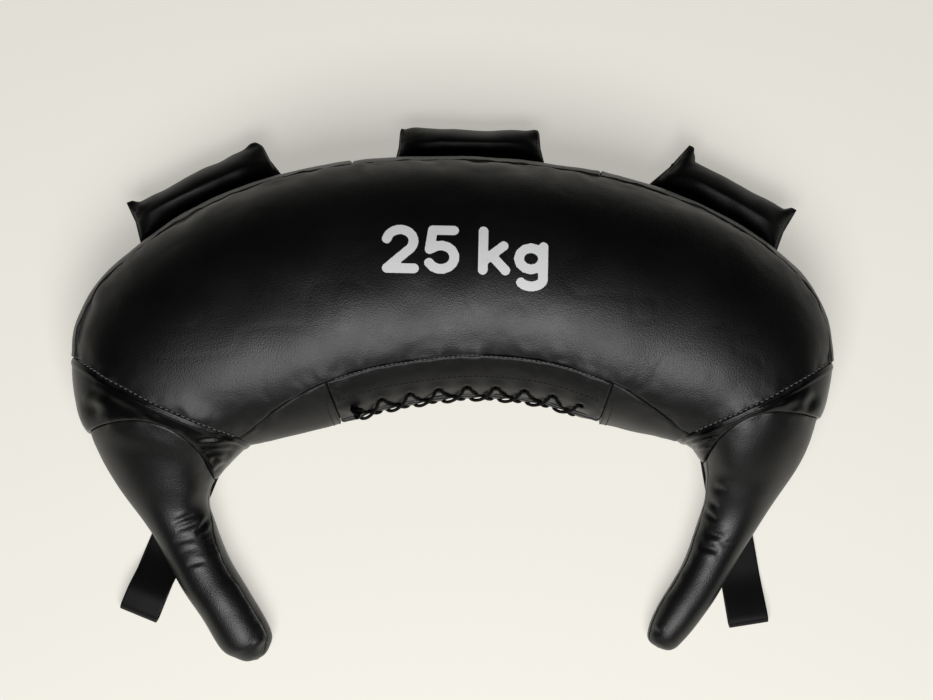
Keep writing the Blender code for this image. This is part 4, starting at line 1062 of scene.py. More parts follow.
def front_panel():
    """The large crescent: soft lumps of the filling, faint creases and topstitching at the yokes."""
    grid = body_strip(BODY_ROWS, OUTER_FRONT, INNER_FRONT, PANEL_STEP)
    relief = lumps(grid, seed=11, kind="front") + creases(grid, seed=21)
    relief += gathers(grid, travelled(grid, 1), seed=22)
    piece, shown, normal = leather_panel(
        "front_panel_leather", "panel_leather", "front_panel", grid, PANEL_LEATHER, relief, seed=31)
    rows = [beside(shown, normal, 0, end, TOPSTITCH_INSET, trim=7) for end in (0, 1)]
    # The topstitches' grey is a painted highlight on dark thread.
    stitches("yoke_topstitch", rows, THREAD_PAINTED_HIGHLIGHT, "root", "panel_leather",
             TOPSTITCH_PITCH, TOPSTITCH_LIFT, TOPSTITCH_SHARE)
    return piece


def arc(x, y, radius, start, stop, flatten=1.0):
    """Points of an arc in shares of the mark's height, from one angle in degrees to another."""
    turn = np.radians(np.linspace(start, stop, MARK_ARC_POINTS))
    return [(x + radius * np.cos(a), y + radius * flatten * np.sin(a)) for a in turn]


# Each letter's place along the mark and its strokes, in shares of the mark's height
MARK_STROKE_SHARES = (
    (0.00, (arc(0.33, 0.665, 0.25, 170, -38) + [(0.10, 0.085), (0.60, 0.085)],)),
    (0.76, ([(0.56, 0.915), (0.17, 0.915), (0.12, 0.50)] + arc(0.33, 0.335, 0.25, 132, -150),)),
    (1.78, ([(0.085, 0.915), (0.085, 0.085)],
            [(0.46, 0.60), (0.12, 0.29)],
            [(0.24, 0.40), (0.50, 0.085)])),
    (2.44, (arc(0.31, 0.345, 0.225, 0, 360),
            [(0.535, 0.60), (0.535, -0.08)] + arc(0.32, -0.08, 0.215, 0, -150, 0.7))),
)


def stroke_distance(places):
    """Distance of each place from the nearest stroke's middle, in shares of the mark's height."""
    best = np.full(places.shape[:-1], np.inf)
    for offset, strokes in MARK_STROKE_SHARES:
        for stroke in strokes:
            line = (np.array(stroke) + (offset, 0)) * (MARK_STRETCH_SHARE, 1)
            for first, last in zip(line[:-1], line[1:]):
                away, step = places - first, last - first
                part = np.clip(away @ step / max(step @ step, LEAST_DIVISOR), 0, 1)
                best = np.minimum(best, np.linalg.norm(away - part[..., None] * step, axis=-1))
    return best


def mark_net():
    """Places and faces of a fine net along the strokes. Places outside a stroke move to its edge,
    down the slope of the distance from it."""
    size = np.array((MARK_WIDTH_SHARE + 2 * MARK_MARGIN_SHARE, MARK_NET_HEIGHT_SHARE))
    count = np.ceil(size * MARK_HEIGHT / MARK_CELL).astype(int)
    x, y = np.meshgrid(*(np.linspace(0, s, n) for s, n in zip(size, count)), indexing="ij")
    places = np.stack((x - MARK_MARGIN_SHARE, y - MARK_BELOW_SHARE), -1)
    over = stroke_distance(places) - MARK_HALF_STROKE_SHARE
    slope = np.stack(np.gradient(over, *(places[1, 1] - places[0, 0])), -1)
    slope /= np.maximum(np.linalg.norm(slope, axis=-1, keepdims=True), LEAST_DIVISOR)
    places = np.where((over > 0)[..., None], places - slope * over[..., None], places).reshape(-1, 2)
    faces = grid_faces(x.shape)[:, ::-1]
    near = over.ravel()[faces] < MARK_CELL / MARK_HEIGHT * MARK_KEPT_SHARE
    used, numbers = np.unique(faces[near.all(axis=1)], return_inverse=True)
    return places[used], numbers.reshape(-1, 4)


def weight_mark(panel):
    """A plain white number and unit, cut from a fine net along its strokes and laid on the leather."""
    places, faces = mark_net()
    plan = (places - (MARK_WIDTH_SHARE / 2, 0.5)) * MARK_HEIGHT
    spin = np.array(((np.cos(MARK_TURN), -np.sin(MARK_TURN)), (np.sin(MARK_TURN), np.cos(MARK_TURN))))
    plan = plan @ spin.T + MARK_CENTRE
    tree = BVHTree.FromObject(panel, bpy.context.evaluated_depsgraph_get())
    hits = [tree.ray_cast(Vector((*point, RAY_ABOVE)), Vector((0, 0, -1)))[:2] for point in plan]
    points = [tuple(spot + normal * MARK_RAISED) for spot, normal in hits]
    fix(new_piece("weight_mark", points, faces, PRINT_WHITE), "root", "panel_leather")


def back_panel():
    """The underside's crescent, flatter than the front and with wider cells."""
    grid = body_strip(BODY_ROWS, INNER_BACK, OUTER_CLOSED, BACK_PANEL_STEP)
    leather_panel("back_panel_leather", "panel_leather", "back_panel", grid, PANEL_LEATHER,
                  lumps(grid, seed=12, kind="back"), seed=32)


def gussets():
    """Three strips along the outer edge, and two along the inner one with two rows of stitches
    each where they meet the laced part."""
    for number, (side, ends) in enumerate(OUTER_GUSSET_ROWS.items()):
        grid = body_strip(ends, OUTER_BACK, OUTER_FRONT, PANEL_STEP)
        leather_panel("outer_gusset_leather_" + side, "gusset_leather", "outer_gusset_" + side, grid,
                      GUSSET_LEATHER, lumps(grid, seed=41 + number, kind="gusset"), seed=51 + number)
    for side, ends in INNER_GUSSET_ROWS.items():
        grid = body_strip(ends, INNER_FRONT, INNER_BACK, PANEL_STEP)
        _, shown, normal = leather_panel(
            "inner_gusset_leather_" + side, "gusset_leather", "inner_gusset_" + side, grid,
            GUSSET_LEATHER, lumps(grid, seed=61, kind="gusset"), seed=71)
        end = 1 if side == "left" else 0
        rows = [beside(shown, normal, 0, end, inset, trim=9) for inset in GUSSET_STITCH_INSETS]
        stitches("placket_end_stitch_" + side, rows, DARK_THREAD, "root", "gusset_leather")


# Lacing

def side_angle(row, rise):
    """The angle at which the inner side stands this far above or below its widest line."""
    share = np.abs(rise) / half_height(row)
    exponent = np.where(np.asarray(rise) >= 0, FRONT_EXPONENT, BACK_EXPONENT)
    return np.pi - np.sign(rise) * rise_angle(share, exponent)


def lace_rows(positions):
    """Rows at distances along the row of holes, measured from its middle."""
    rows = np.linspace(PLACKET_ROWS[0] - 1, PLACKET_ROWS[1] + 1, LACE_ROW_POINTS)
    run = travelled(surface(rows, side_angle(rows, HOLE_RISE)))
    middle = np.interp(LACE_MIDDLE_ROW, rows, run)
    return np.interp(middle + np.asarray(positions), run, rows)


def hole_position(index):
    """Distance of a lace hole along its row from the row's middle."""
    return (index - (HOLE_COUNT - 1) / 2) * HOLE_PITCH


def hole_centres(rise):
    """The middles of all lace holes at this rise."""
    rows = lace_rows(hole_position(np.arange(HOLE_COUNT)))
    return surface(rows, side_angle(rows, rise))


def punched(points, faces, centres):
    """Opens round holes: cells wholly inside go, and the points left inside move out to the rim."""
    away = points[:, None] - centres
    distance = np.linalg.norm(away, axis=-1)
    nearest = np.arange(len(points)), np.argmin(distance, axis=1)
    away, distance = away[nearest], distance[nearest]
    inside = distance < HOLE_RADIUS * HOLE_CLEARED_SHARE
    rim = points - away + away / np.maximum(distance, LEAST_DIVISOR)[:, None] * HOLE_RADIUS
    points = np.where(inside[:, None], rim, points)
    faces = faces[~inside[faces].all(axis=1)]
    used, numbers = np.unique(faces, return_inverse=True)
    return points[used], numbers.reshape(faces.shape), used


def placket_relief(grid, rise):
    """Leather drawn to peaks at the lace holes: a small tent round each hole, hollow at its top."""
    away = np.linalg.norm(grid[:, :, None] - hole_centres(rise), axis=-1).min(-1)
    return bead(away, *HOLE_PEAK) - bead(away, *HOLE_HOLLOW)


def plackets():
    """The two hemmed strips with lace holes, each with stitches at its seam whose grey is a painted
    highlight on dark thread, and dark ones at its hem."""
    for side, first, last, rise, hem in (
            ("front", INNER_FRONT, SLIT_FRONT, HOLE_RISE, 0),
            ("back", SLIT_BACK, INNER_BACK, -HOLE_RISE, 1)):
        node = "lace_placket_" + side
        grid = body_strip(PLACKET_ROWS, first, last, PLACKET_STEP)
        _, shown, normal = leather_panel(
            "placket_leather_" + side, "placket_leather", node, grid, PLACKET_LEATHER,
            placket_relief(grid, rise), seed=81, fill=0.8, holes=hole_centres(rise))
        seam, hemmed = ([beside(shown, normal, 1, hem, inset, trim=8)]
                        for inset in (PLACKET_SEAM_INSET, PLACKET_HEM_INSET))
        # The seam stitches' grey is a painted highlight on dark thread.
        stitches(node + "_seam_stitch", seam, THREAD_PAINTED_HIGHLIGHT, "root", "placket_leather",
                 PLACKET_STITCH_PITCH, PLACKET_STITCH_LIFT)
        stitches(node + "_hem_stitch", hemmed, DARK_THREAD, "root", "placket_leather")


def lace_point(position, rise, depth=0.0):
    """A point of the lace: its place along the holes, its rise, and its depth under the skin."""
    row = lace_rows(position)
    return surface(row, side_angle(row, rise), depth)


def lace_leg(start, stop, shift, layer):
    """A leg outside from one hole to the next, and the point where it goes in."""
    first, second = hole_position(start) + shift, hole_position(stop) - shift
    over = layer[0] + LACE_OUTSIDE
    for part, share, sag in LEG_SHARES:
        depth = -LACE_OUTSIDE + over * share + LACE_SAG * sag
        yield lace_point(first * (1 - part) + second * part, HOLE_RISE * (1 - 2 * part), depth)
    yield lace_point(second, -HOLE_RISE, layer[1])


def lace_crossing(index, shift, layer):
    """The way straight across inside, from the back hole to the front one."""
    for way in CROSSING_SHARES:
        yield lace_point(hole_position(index) + shift * way, HOLE_RISE * way, layer[1])


def lace_route():
    """One lace: zigzag outside to the right end and back over itself, straight across inside."""
    forward, back = (-LACE_OUTSIDE, LACE_INSIDE), (-LACE_OUTSIDE - LACE_LAYER, LACE_INSIDE + LACE_LAYER)
    last = HOLE_COUNT - 1
    points = [lace_point(hole_position(0) + LACE_SHIFT, HOLE_RISE, forward[1])]
    for index in range(last):
        points += lace_leg(index, index + 1, LACE_SHIFT, forward)
        turning = index + 1 == last
        points += lace_crossing(index + 1, -LACE_SHIFT if turning else LACE_SHIFT,
                                back if turning else forward)
    for index in range(last, 0, -1):
        points += lace_leg(index, index - 1, -LACE_SHIFT, back)
        if index > 1:
            points += lace_crossing(index - 1, -LACE_SHIFT, back)
    return np.array(points)


def rounded_route(points, times=3):
    """Corner cutting: each corner gives way to points a quarter of the way along its two sides."""
    for _ in range(times):
        near, far = points[:-1] * 0.75 + points[1:] * 0.25, points[:-1] * 0.25 + points[1:] * 0.75
        points = np.concatenate((points[:1], np.stack((near, far), 1).reshape(-1, 3), points[-1:]))
    return points


def tube(name, path, radius, finish):
    """A round tube: circles carried along a path on frames that don't twist, closed at its ends. The
    first frame stands across a fixed direction in which no path starts."""
    step = np.gradient(path, axis=0)
    step /= np.linalg.norm(step, axis=-1, keepdims=True)
    side = np.zeros_like(step)
    side[0] = np.cross(step[0], TUBE_START)
    for k in range(1, len(step)):
        side[k] = side[k - 1] - step[k] * (side[k - 1] @ step[k])
        side[k] /= np.linalg.norm(side[k])
    side[0] /= np.linalg.norm(side[0])
    up = np.cross(step, side)
    turn = turns(TUBE_SIDES)[None, :, None]
    grid = path[:, None] + radius * (np.cos(turn) * side[:, None] - np.sin(turn) * up[:, None])
    uv = np.stack(np.broadcast_arrays(travelled(path)[:, None], turn[..., 0] / (2 * np.pi)), -1)
    return new_piece(name, grid, capped_faces(grid.shape[:2]), finish, uv=uv)


def knot_path(centre):
    """Three loops in one another: sin a + s sin 2a and cos a - s cos 2a across, sin 3a up."""
    turn = np.linspace(0, 2 * np.pi, KNOT_POINTS)
    return centre + np.stack((
        KNOT_RADIUS * (np.sin(turn) + KNOT_LOOP_SHARE * np.sin(2 * turn)) / KNOT_SPREAD_SHARE,
        KNOT_RADIUS * (np.cos(turn) - KNOT_LOOP_SHARE * np.cos(2 * turn)) / KNOT_SPREAD_SHARE,
        -KNOT_HEIGHT * np.sin(3 * turn)), -1)


def lace():
    """The lace, and a small knot that stands out where its ends meet at the left."""
    path = rounded_route(lace_route())
    fix(tube("lace_cord", path, LACE_RADIUS, LACE_BRAID), "root", "lace_cord", "lace")
    out = lace_point(hole_position(0), HOLE_RISE) - lace_point(hole_position(0), HOLE_RISE, OUTWARD_STEP)
    knot = knot_path(path[0] + out / np.linalg.norm(out) * KNOT_AWAY)
    fix(tube("lace_knot", knot, LACE_RADIUS * KNOT_LACE_SHARE, LACE_BRAID), "root", "lace_cord")


def tongue():
    """The leather that closes the slit from inside, under the lace."""
    depth = LACE_INSIDE + LACE_LAYER + LACE_RADIUS + TONGUE_GAP
    rows = np.linspace(*PLACKET_ROWS, TONGUE_LINES)
    rows, angles = strip_places(rows, INNER_FRONT, INNER_BACK, TONGUE_SHARES)
    grid = surface(rows, angles, depth)
    piece = new_piece("tongue_leather", grid, grid_faces(grid.shape[:2]), GUSSET_LEATHER,
                      wear=np.zeros(grid.shape[:2]))
    fix(thicken(piece), "root", "tongue_leather", "lace_tongue")


# Yokes and horns

def ring_lines(side, count):
    """Angles of lines that stand evenly round the neck of one side."""
    row = np.array((YOKE_ROWS[side],))
    return strip_angles(row, OUTER_BACK, OUTER_CLOSED, np.linspace(0, 1, count + 1))[0, :-1]


def yoke_grid(side, shares, lines, depth=0.0):
    """Closed rings at shares of the way from the body's seam to the horn's, with rows that rise."""
    rows = yoke_rows(side, lines) * (1 - shares[:, None]) + horn_rows(side, lines) * shares[:, None]
    grid = surface(rows, lines, depth)
    return grid if side == "right" else grid[::-1]


def from_ends(grid, side):
    """Distances of each point of a sleeve from its end towards the tip and its end at the body."""
    run = travelled(grid)
    ends = (run, run[-1:] - run)
    return ends if side == "left" else ends[::-1]


def yoke(side):
    """The gathered collar between the body and the horn."""
    grid = yoke_grid(side, graded(YOKE_LENGTH, YOKE_STEP) / YOKE_LENGTH, ring_lines(side, YOKE_LINES))
    grid = drawn_back(grid, axes=(0,))
    normal = normals_of(grid, ring=True)
    from_horn, from_body = from_ends(grid, side)
    edge = np.minimum(from_horn, from_body)
    corner = np.append(plan_point(sections(YOKE_ROWS[side])[2:4] * YOKE_CORNER_SHARES), HALF_HEIGHT)
    near = fade(np.linalg.norm(grid - corner, axis=-1), YOKE_CORNER_REACH, 2)
    relief = lumps(grid, seed=94, kind="yoke")
    relief += YOKE_FOLD_SHARE * folds(grid, YOKE_FOLDS[side])
    relief += near * (YOKE_WRINKLE_HEIGHT * noise(grid / YOKE_WRINKLE_SIZES, size=1.0, seed=93))
    relief += bead(from_body, *YOKE_BEAD)
    relief += puckers(grid, from_horn, seed=95, kind="yoke") - rounding(edge, YOKE_ROUNDING)
    relief -= HORN_DIP / 2 * fade(from_horn, YOKE_DIP_REACH)
    shown = raised(grid, normal, relief)
    points = above_floor(tucked(shown, normal, axes=(0,)))
    wear = np.pad(fade(edge, WEAR_REACH), ((1, 1), (0, 0)), mode="edge")
    piece = new_piece("yoke_leather_" + side, points, grid_faces(points.shape[:2], ring=True),
                      YOKE_LEATHER, wear=wear)
    fix(thicken(piece), "root", "yoke_leather", "yoke_" + side, fill=0.8)


def horn_lines(count):
    """Turns round the horn from its long seam back to it, crowded together at the seam: each is a
    share s of the full turn less c sin(2 pi s) / (2 pi)."""
    share = np.linspace(0, 1, count + 1)[:-1]
    share = share - HORN_CROWDING_SHARE * np.sin(2 * np.pi * share) / (2 * np.pi)
    return 2 * np.pi * share


def horn_grid(side, lines, depth=0.0):
    """Rings from the horn seam to the neck and on to the tip. The long seam swings over to the front
    between two rows, so that it is out of sight at the neck."""
    tip, inward = TIP_ROWS[side], INWARD[side]
    hidden, seen = HORN_SEAM_ANGLES[side]
    seam, neck = horn_rows(side, lines + hidden), tip + inward * HORN_NECK_ROWS
    edge = EDGE_STEPS / HORN_NECK_LENGTH
    turn = np.concatenate((edge, np.linspace(edge[-1], 1, HORN_NECK_RINGS)[1:]))
    first = seam * (1 - turn[:, None]) + neck * turn[:, None]
    rest = tip + inward * HORN_NECK_ROWS * np.linspace(1, 0, HORN_RINGS)[1:-1] ** HORN_RING_POWER
    rows = np.concatenate((first, np.repeat(rest[:, None], len(lines), axis=1)))
    low, high = HORN_SWING_ROWS
    swing = ease((inward * (rows - tip) - low) / (high - low))
    grid = surface(rows, lines + seen + (hidden - seen) * swing, depth)
    return grid if side == "right" else grid[::-1]


def horn(side):
    """The horn's leather: one long seam on the inner side, wrinkles beside it, a pinched tip. Its
    open end is turned in at the neck, and the other is closed at the tip."""
    grid = horn_grid(side, horn_lines(HORN_LINES))
    normal = normals_of(grid, ring=True)
    from_tip, from_neck = from_ends(grid, side)
    across = travelled(np.concatenate((grid, grid[:, :1]), axis=1), 1)
    from_seam = np.minimum(across[:, :-1], across[:, -1:] - across[:, :-1])
    relief = lumps(grid, seed=101, kind="horn")
    relief -= rounding(from_seam, HORN_SEAM_ROUNDING) * ease(from_tip / HORN_TIP_START)
    relief += puckers(grid, from_seam, seed=102, kind="horn_seam")
    relief += HORN_FOLD_SHARE * folds(grid, HORN_FOLDS[side])
    relief += puckers(grid, from_neck, seed=104, kind="horn_neck") - rounding(from_neck)
    relief -= HORN_DIP * fade(from_neck, HORN_DIP_REACH, HORN_DIP_POWER)
    relief = relief * np.minimum(1, from_tip / HORN_TIP_LENGTH) + bead(from_tip, *TIP_BEAD)
    wear = fade(np.minimum(from_neck, from_seam), SMALL_WEAR_REACH)
    kept, tip = (slice(1, None), 0) if side == "left" else (slice(None, -1), -1)
    points = tucked(raised(grid, normal, relief), normal, axes=(0,))[kept]
    wear = np.pad(wear, ((1, 1), (0, 0)), mode="edge")[kept]
    piece = closed_rings("horn_leather_" + side, points, HORN_LEATHER,
                         poles={tip: surface(TIP_ROWS[side], 0.0)}, wear=wear)
    bend_with_horn(thicken(piece), side)
    stand_for(piece, "horn_leather", "horn_cover_" + side, fill=0.85)


def bend_with_horn(piece, side):
    """Works out the middle of the horn seam's two ends and the way along the horn from there, which
    nothing uses, and bakes the piece's place into its points. The piece does not bend with the horn.
    """
    lines = np.array((0.0, np.pi))
    outer, inner = surface(horn_rows(side, lines), lines)
    way = np.cross(outer - inner, (0, 0, 1)) * INWARD[side]
    way /= np.linalg.norm(way)
    start = (outer + inner) / 2
    start = start + way * min((outer - start) @ way, (inner - start) @ way, 0)
    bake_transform(piece)


# Grips

def in_place(points, joint):
    """Local points turned about Z by the joint's yaw and moved to its hinge."""
    turn = np.radians(YAWS[joint])
    along, out = np.array((np.cos(turn), np.sin(turn), 0)), np.array((-np.sin(turn), np.cos(turn), 0))
    return HINGES[joint] + points[..., 0:1] * along + points[..., 1:2] * out + points[..., 2:3] * (0, 0, 1)


def roll_points(side, u, turn, inset=0.0):
    """A pillow seen in its own frame. Along it u runs from -1 to 1, and t across it from the bag's
    side (0) to the far side (1): t = (1 - cos^(2/e)) / 2. Its ends run between the bag's side and
    the far side as straight lines less a bow 4 t (1 - t). The far corners reach out as tabs by
    t^2 past four fifths of u, and the near ones back towards the bag by u^9 (1 - t)^3. Its height
    follows (1 - u^3) to a power."""
    (near_left, near_right, far_left, far_right, reach, lean, ear_left, ear_right,
     round_left, round_right) = GRIP_OUTLINES[side]
    u, turn = np.broadcast_arrays(u[:, None], turn[None, :])
    t = (1 - signed_power(np.cos(turn), 2 / GRIP_EXPONENT)) / 2
    bow = GRIP_BOW * 4 * t * (1 - t)
    corner = np.clip((t - GRIP_ROUND_START_SHARE) / (1 - GRIP_ROUND_START_SHARE), 0, 1) ** 2
    left = near_left + (far_left - near_left) * t + bow + inset + round_left * corner
    right = near_right + (far_right - near_right) * t - bow - inset - round_right * corner
    x = (left + right) / 2 + (right - left) / 2 * u
    share = np.abs(u)
    full = np.clip(1 - share ** 3, 0, 1) ** GRIP_FULL_POWER
    height = GRIP_SEAM_HALF + (GRIP_HALF_HEIGHT - GRIP_SEAM_HALF) * full - inset
    height = np.maximum(height, GRIP_SEAM_HALF / 2)
    ear = np.where(u < 0, ear_left, ear_right) * t ** 2
    ear = ear * ease((share - GRIP_EAR_START_SHARE) / GRIP_EAR_RISE_SHARE)
    ear = ear - GRIP_NEAR_EAR * share ** 9 * (1 - t) ** 3
    y = GRIP_NEAR + inset + (reach + lean * x - GRIP_NEAR - 2 * inset) * t + ear
    z = height * signed_power(np.sin(turn), 2 / GRIP_EXPONENT)
    return np.stack((x, y, z), -1)


def grip(side, number):
    """A leather pillow roll: flat sewn ends drawn into small gathers, a soft uneven filling."""
    joint, body = f"grip_{side}_fold", "grip_" + side
    rest = np.linspace(GRIP_FIRST_RING, GRIP_HALF_LENGTH, GRIP_HALF_RINGS)
    end = np.concatenate((EDGE_STEPS, rest)) / GRIP_HALF_LENGTH
    turn = turns(GRIP_LINES)
    grid = roll_points(side, np.concatenate((end, 2 - end[-2::-1])) - 1, turn)
    normal = normals_of(grid, ring=True)
    from_end = np.minimum(*from_ends(grid, "left"))
    moved = grid + number
    relief = lumps(moved, seed=111 + number, kind="grip")
    gather = noise(moved / GRIP_GATHER_SIZES, size=1.0, seed=121)
    relief += GRIP_GATHER_HEIGHT * gather * fade(from_end, GRIP_GATHER_REACH)
    corner = fade(from_end, GRIP_CORNER_REACH) * np.abs(np.cos(turn)) ** 3
    relief += GRIP_CORNER_HEIGHT * corner * noise(moved / GRIP_CORNER_SIZE, size=1.0, seed=122)
    relief -= rounding(from_end, GRIP_ROUNDING)
    relief *= np.minimum(1, from_end / GRIP_END_LENGTH + GRIP_END_SHARE)
    points = in_place(grid + normal * relief[..., None], joint)
    piece = closed_rings("grip_leather_" + side, points, GRIP_LEATHER,
                         wear=fade(from_end, SMALL_WEAR_REACH))
    fix(piece, body, "grip_leather", "grip_cover_" + side, fill=0.85)
    out = in_place(normal, joint) - HINGES[joint]
    lines = [[value[first:last] for value in beside(points, out, 0, end, GRIP_STITCH_INSET)]
             for end in (0, 1) for first, last in GRIP_STITCHED_LINES]
    stitches("grip_stitch_" + side, lines, DARK_THREAD, body, "grip_leather",
             GRIP_STITCH_PITCH, GRIP_STITCH_LIFT)


def grip_core(side):
    """The foam roll inside a grip: the roll's own shape, thinner by the leather."""
    rings = np.linspace(-1, 1, GRIP_CORE_RINGS)
    grid = roll_points(side, rings, turns(GRIP_CORE_LINES), GRIP_CORE_INSET)
    piece = closed_rings("grip_foam_" + side, in_place(grid, f"grip_{side}_fold"), FOAM)
    fix(piece, "grip_" + side, "grip_foam", "grip_core_" + side, fill=1.0)


def ribbon(name, grid, body, slot, node, thickness=WEBBING):
    """A woven band from the grid of its middle: metres along and across it are its UV map."""
    uv = np.stack((travelled(grid, 1), travelled(grid, 0)), -1)
    piece = new_piece(name, grid, grid_faces(grid.shape[:2]), WEBBING_CLOTH, uv=uv)
    thicken(piece, thickness, offset=0)
    edge = piece.modifiers.new("rounded", "BEVEL")
    edge.width = thickness * WEBBING_EDGE_SHARE
    edge.segments = WEBBING_EDGE_SEGMENTS
    edge.limit_method = "ANGLE"
    edge.angle_limit = WEBBING_EDGE_ANGLE
    return fix(piece, body, slot, node)


def grip_strap(side):
    """One strap: a leg out of the back seam, a folded corner, a bar through the roll, and back."""
    inner_x, outer_x = STRAP_MIDDLE - STRAP_WIDTH / 2, STRAP_MIDDLE + STRAP_WIDTH / 2
    near, far = STRAP_NEAR, STRAP_NEAR + STRAP_BAR
    corners = np.array((
        ((-inner_x, STRAP_START), (-outer_x, STRAP_START)),
        ((-inner_x, near), (-outer_x, far)),
        ((inner_x, near), (outer_x, far)),
        ((inner_x, STRAP_START), (outer_x, STRAP_START))))
    part = np.linspace(0, 1, STRAP_LEG_POINTS, endpoint=False)[:, None, None]
    legs = [first + (last - first) * part for first, last in zip(corners[:-1], corners[1:])]
    place = np.concatenate(legs + [corners[-1:]])
    share = np.linspace(0, 1, STRAP_LINES)[None, :, None]
    plan = place[:, :1] * (1 - share) + place[:, 1:] * share + (GRIP_SHIFTS[side], 0)
    grid = np.concatenate((plan, np.zeros(plan.shape[:2] + (1,))), -1)
    ribbon("grip_webbing_" + side, in_place(grid, f"grip_{side}_fold"), "grip_" + side, "webbing",
           "grip_strap_" + side)


# Webbing loops

def loop_path(side, height):
    """The middle of the band seen from its side: out, round the eye at its end and back on top. It
    settles from the hinge's height to the floor, and opens from its stem to the eye."""
    stem, eye, curl = LOOP_STEMS[side], LOOP_EYES[side], LOOP_CURLS[side]
    bend = (LOOP_STACK + eye - PLY_GAP) / 2
    settling = np.linspace(0, LOOP_SETTLE, LOOP_SETTLE_POINTS)
    ply = np.linspace(LOOP_SETTLE, LOOP_REACH - bend, LOOP_PLY_POINTS)
    y = np.concatenate((settling, ply[1:]))
    floor = -LOOP_STACK / 2 + (LOOP_STACK / 2 - height) * ease(y / LOOP_SETTLE) + FLOOR_GAP
    opening = PLY_GAP + (eye - PLY_GAP) * ease((y - stem) / (LOOP_REACH - stem))
    crest = LOOP_REACH - LOOP_CREST
    opening += curl * ease((y - stem) / (crest - stem)) * (1 - ease((y - crest) / LOOP_CREST))
    low, high = floor + WEBBING / 2, floor + WEBBING * 1.5 + opening - FLOOR_GAP
    radius = (high[-1] - low[-1]) / 2
    turn = np.linspace(-np.pi / 2, np.pi / 2, LOOP_NOSE_POINTS)[1:-1]
    nose = np.stack((y[-1] + radius * np.cos(turn), (low[-1] + high[-1]) / 2 + radius * np.sin(turn)), -1)
    return np.concatenate((np.stack((y, low), -1), nose, np.stack((y, high), -1)[::-1]))


def webbing_loop(side):
    """A loop of webbing behind the horn, slightly wavy, its upper ply skewed from the lower one."""
    joint = f"loop_{side}_swing"
    path = loop_path(side, HINGES[joint][2])
    across = np.linspace(-0.5, 0.5, LOOP_LINES) * LOOP_WIDTH
    grid = np.stack(np.broadcast_arrays(across[None, :], path[:, 0:1], path[:, 1:2]), -1)
    wave = noise(grid / LOOP_WAVE_SIZES, size=1.0, seed=131) * ease(path[:, 0:1] / LOOP_WAVE_START)
    grid[..., 2] += LOOP_WAVE_HEIGHT * wave
    run = travelled(path)
    upper = ease(run / run[-1] * 2 - 0.5)
    grid[..., 0] += LOOP_SKEWS[side] * ((0.5 - upper) * ease(path[:, 0] / LOOP_REACH))[:, None]
    grid = above_floor(in_place(grid, joint), WEBBING / 2 + LOOP_REST_GAP)
    ribbon("loop_webbing_" + side, grid, "loop_" + side, "webbing", "webbing_loop_" + side)


def heights_hit(tree, plan, start, way):
    """Heights at which rays straight up or down from a height first meet a surface, or no number."""
    spots = [tree.ray_cast(Vector((*place, start)), Vector((0, 0, way)))[0] for place in plan.reshape(-1, 2)]
    return np.array([np.nan if spot is None else spot.z for spot in spots]).reshape(plan.shape[:-1])


def loop_anchor(side):
    """The sewn-down end under the yoke: a band at the height of the solid model's own box, and as
    thick as it."""
    node = frame["nodes"]["loop_anchor_" + side]
    tree = BVHTree.FromObject(node, bpy.context.evaluated_depsgraph_get())
    ends = (-LOOP_STACK / 2 - ANCHOR_ROOM, -ANCHOR_LENGTH + ANCHOR_END_ROOM)
    along = np.linspace(*ends, ANCHOR_POINTS)
    across = np.linspace(-0.5, 0.5, LOOP_LINES) * (LOOP_WIDTH - ANCHOR_ROOM)
    plan = np.stack(np.broadcast_arrays(across[None, :], along[:, None], 0.0), -1)
    plan = in_place(plan, f"loop_{side}_swing")
    low, high = (heights_hit(tree, plan[..., 0:2], *ray) for ray in ((RAY_BELOW, 1), (RAY_ABOVE, -1)))
    middle, thick = (low + high) / 2, np.nanmedian(high - low)
    plan[..., 2] = np.where(np.isnan(middle), np.nanmedian(middle), middle)
    ribbon("anchor_webbing_" + side, plan[::-1], "root", "webbing", "loop_anchor_" + side,
           thickness=float(thick))


# Filling

def ring_places(base):
    """Rows and angles of closed rings of the body, without the repeated last line."""
    rows, angles = strip_places(base, OUTER_BACK, OUTER_CLOSED, np.linspace(0, 1, RING_POINTS))
    return rows[:, :-1], angles[:, :-1]


def wadding_depth(rows, angles):
    """Depth of the wadding's outside: deeper behind the lacing, eased in along it and round it."""
    first, last = PLACKET_ROWS
    along = (ease((rows - first + LACING_LEAD_ROWS) / LACING_EASE_ROWS)
             * ease((last + LACING_LEAD_ROWS - rows) / LACING_EASE_ROWS))
    front, back = (seam_angles(rows[:, 0])[:, seam, None] for seam in (INNER_FRONT, INNER_BACK))
    around = (ease((angles - front + LACING_EASE_ANGLE) / LACING_EASE_ANGLE)
              * ease((back + LACING_EASE_ANGLE - angles) / LACING_EASE_ANGLE))
    return LEATHER_ROOM + LACING_ROOM * along * around


def wadding():
    """The felt tube between the skin and the sacks."""
    ends = (LEFT_YOKE_ROW + WADDING_END_ROWS, RIGHT_YOKE_ROW - WADDING_END_ROWS)
    rows, angles = ring_places(np.linspace(*ends, WADDING_RINGS))
    grid = surface(rows, angles, wadding_depth(rows, angles))
    grid = raised(grid, normals_of(grid, ring=True), lumps(grid, seed=141, kind="wadding"))
    piece = new_piece("wadding_felt", grid, grid_faces(grid.shape[:2], ring=True), FELT)
    fix(thicken(piece, WADDING), "root", "wadding", "wadding_liner", fill=0.8)


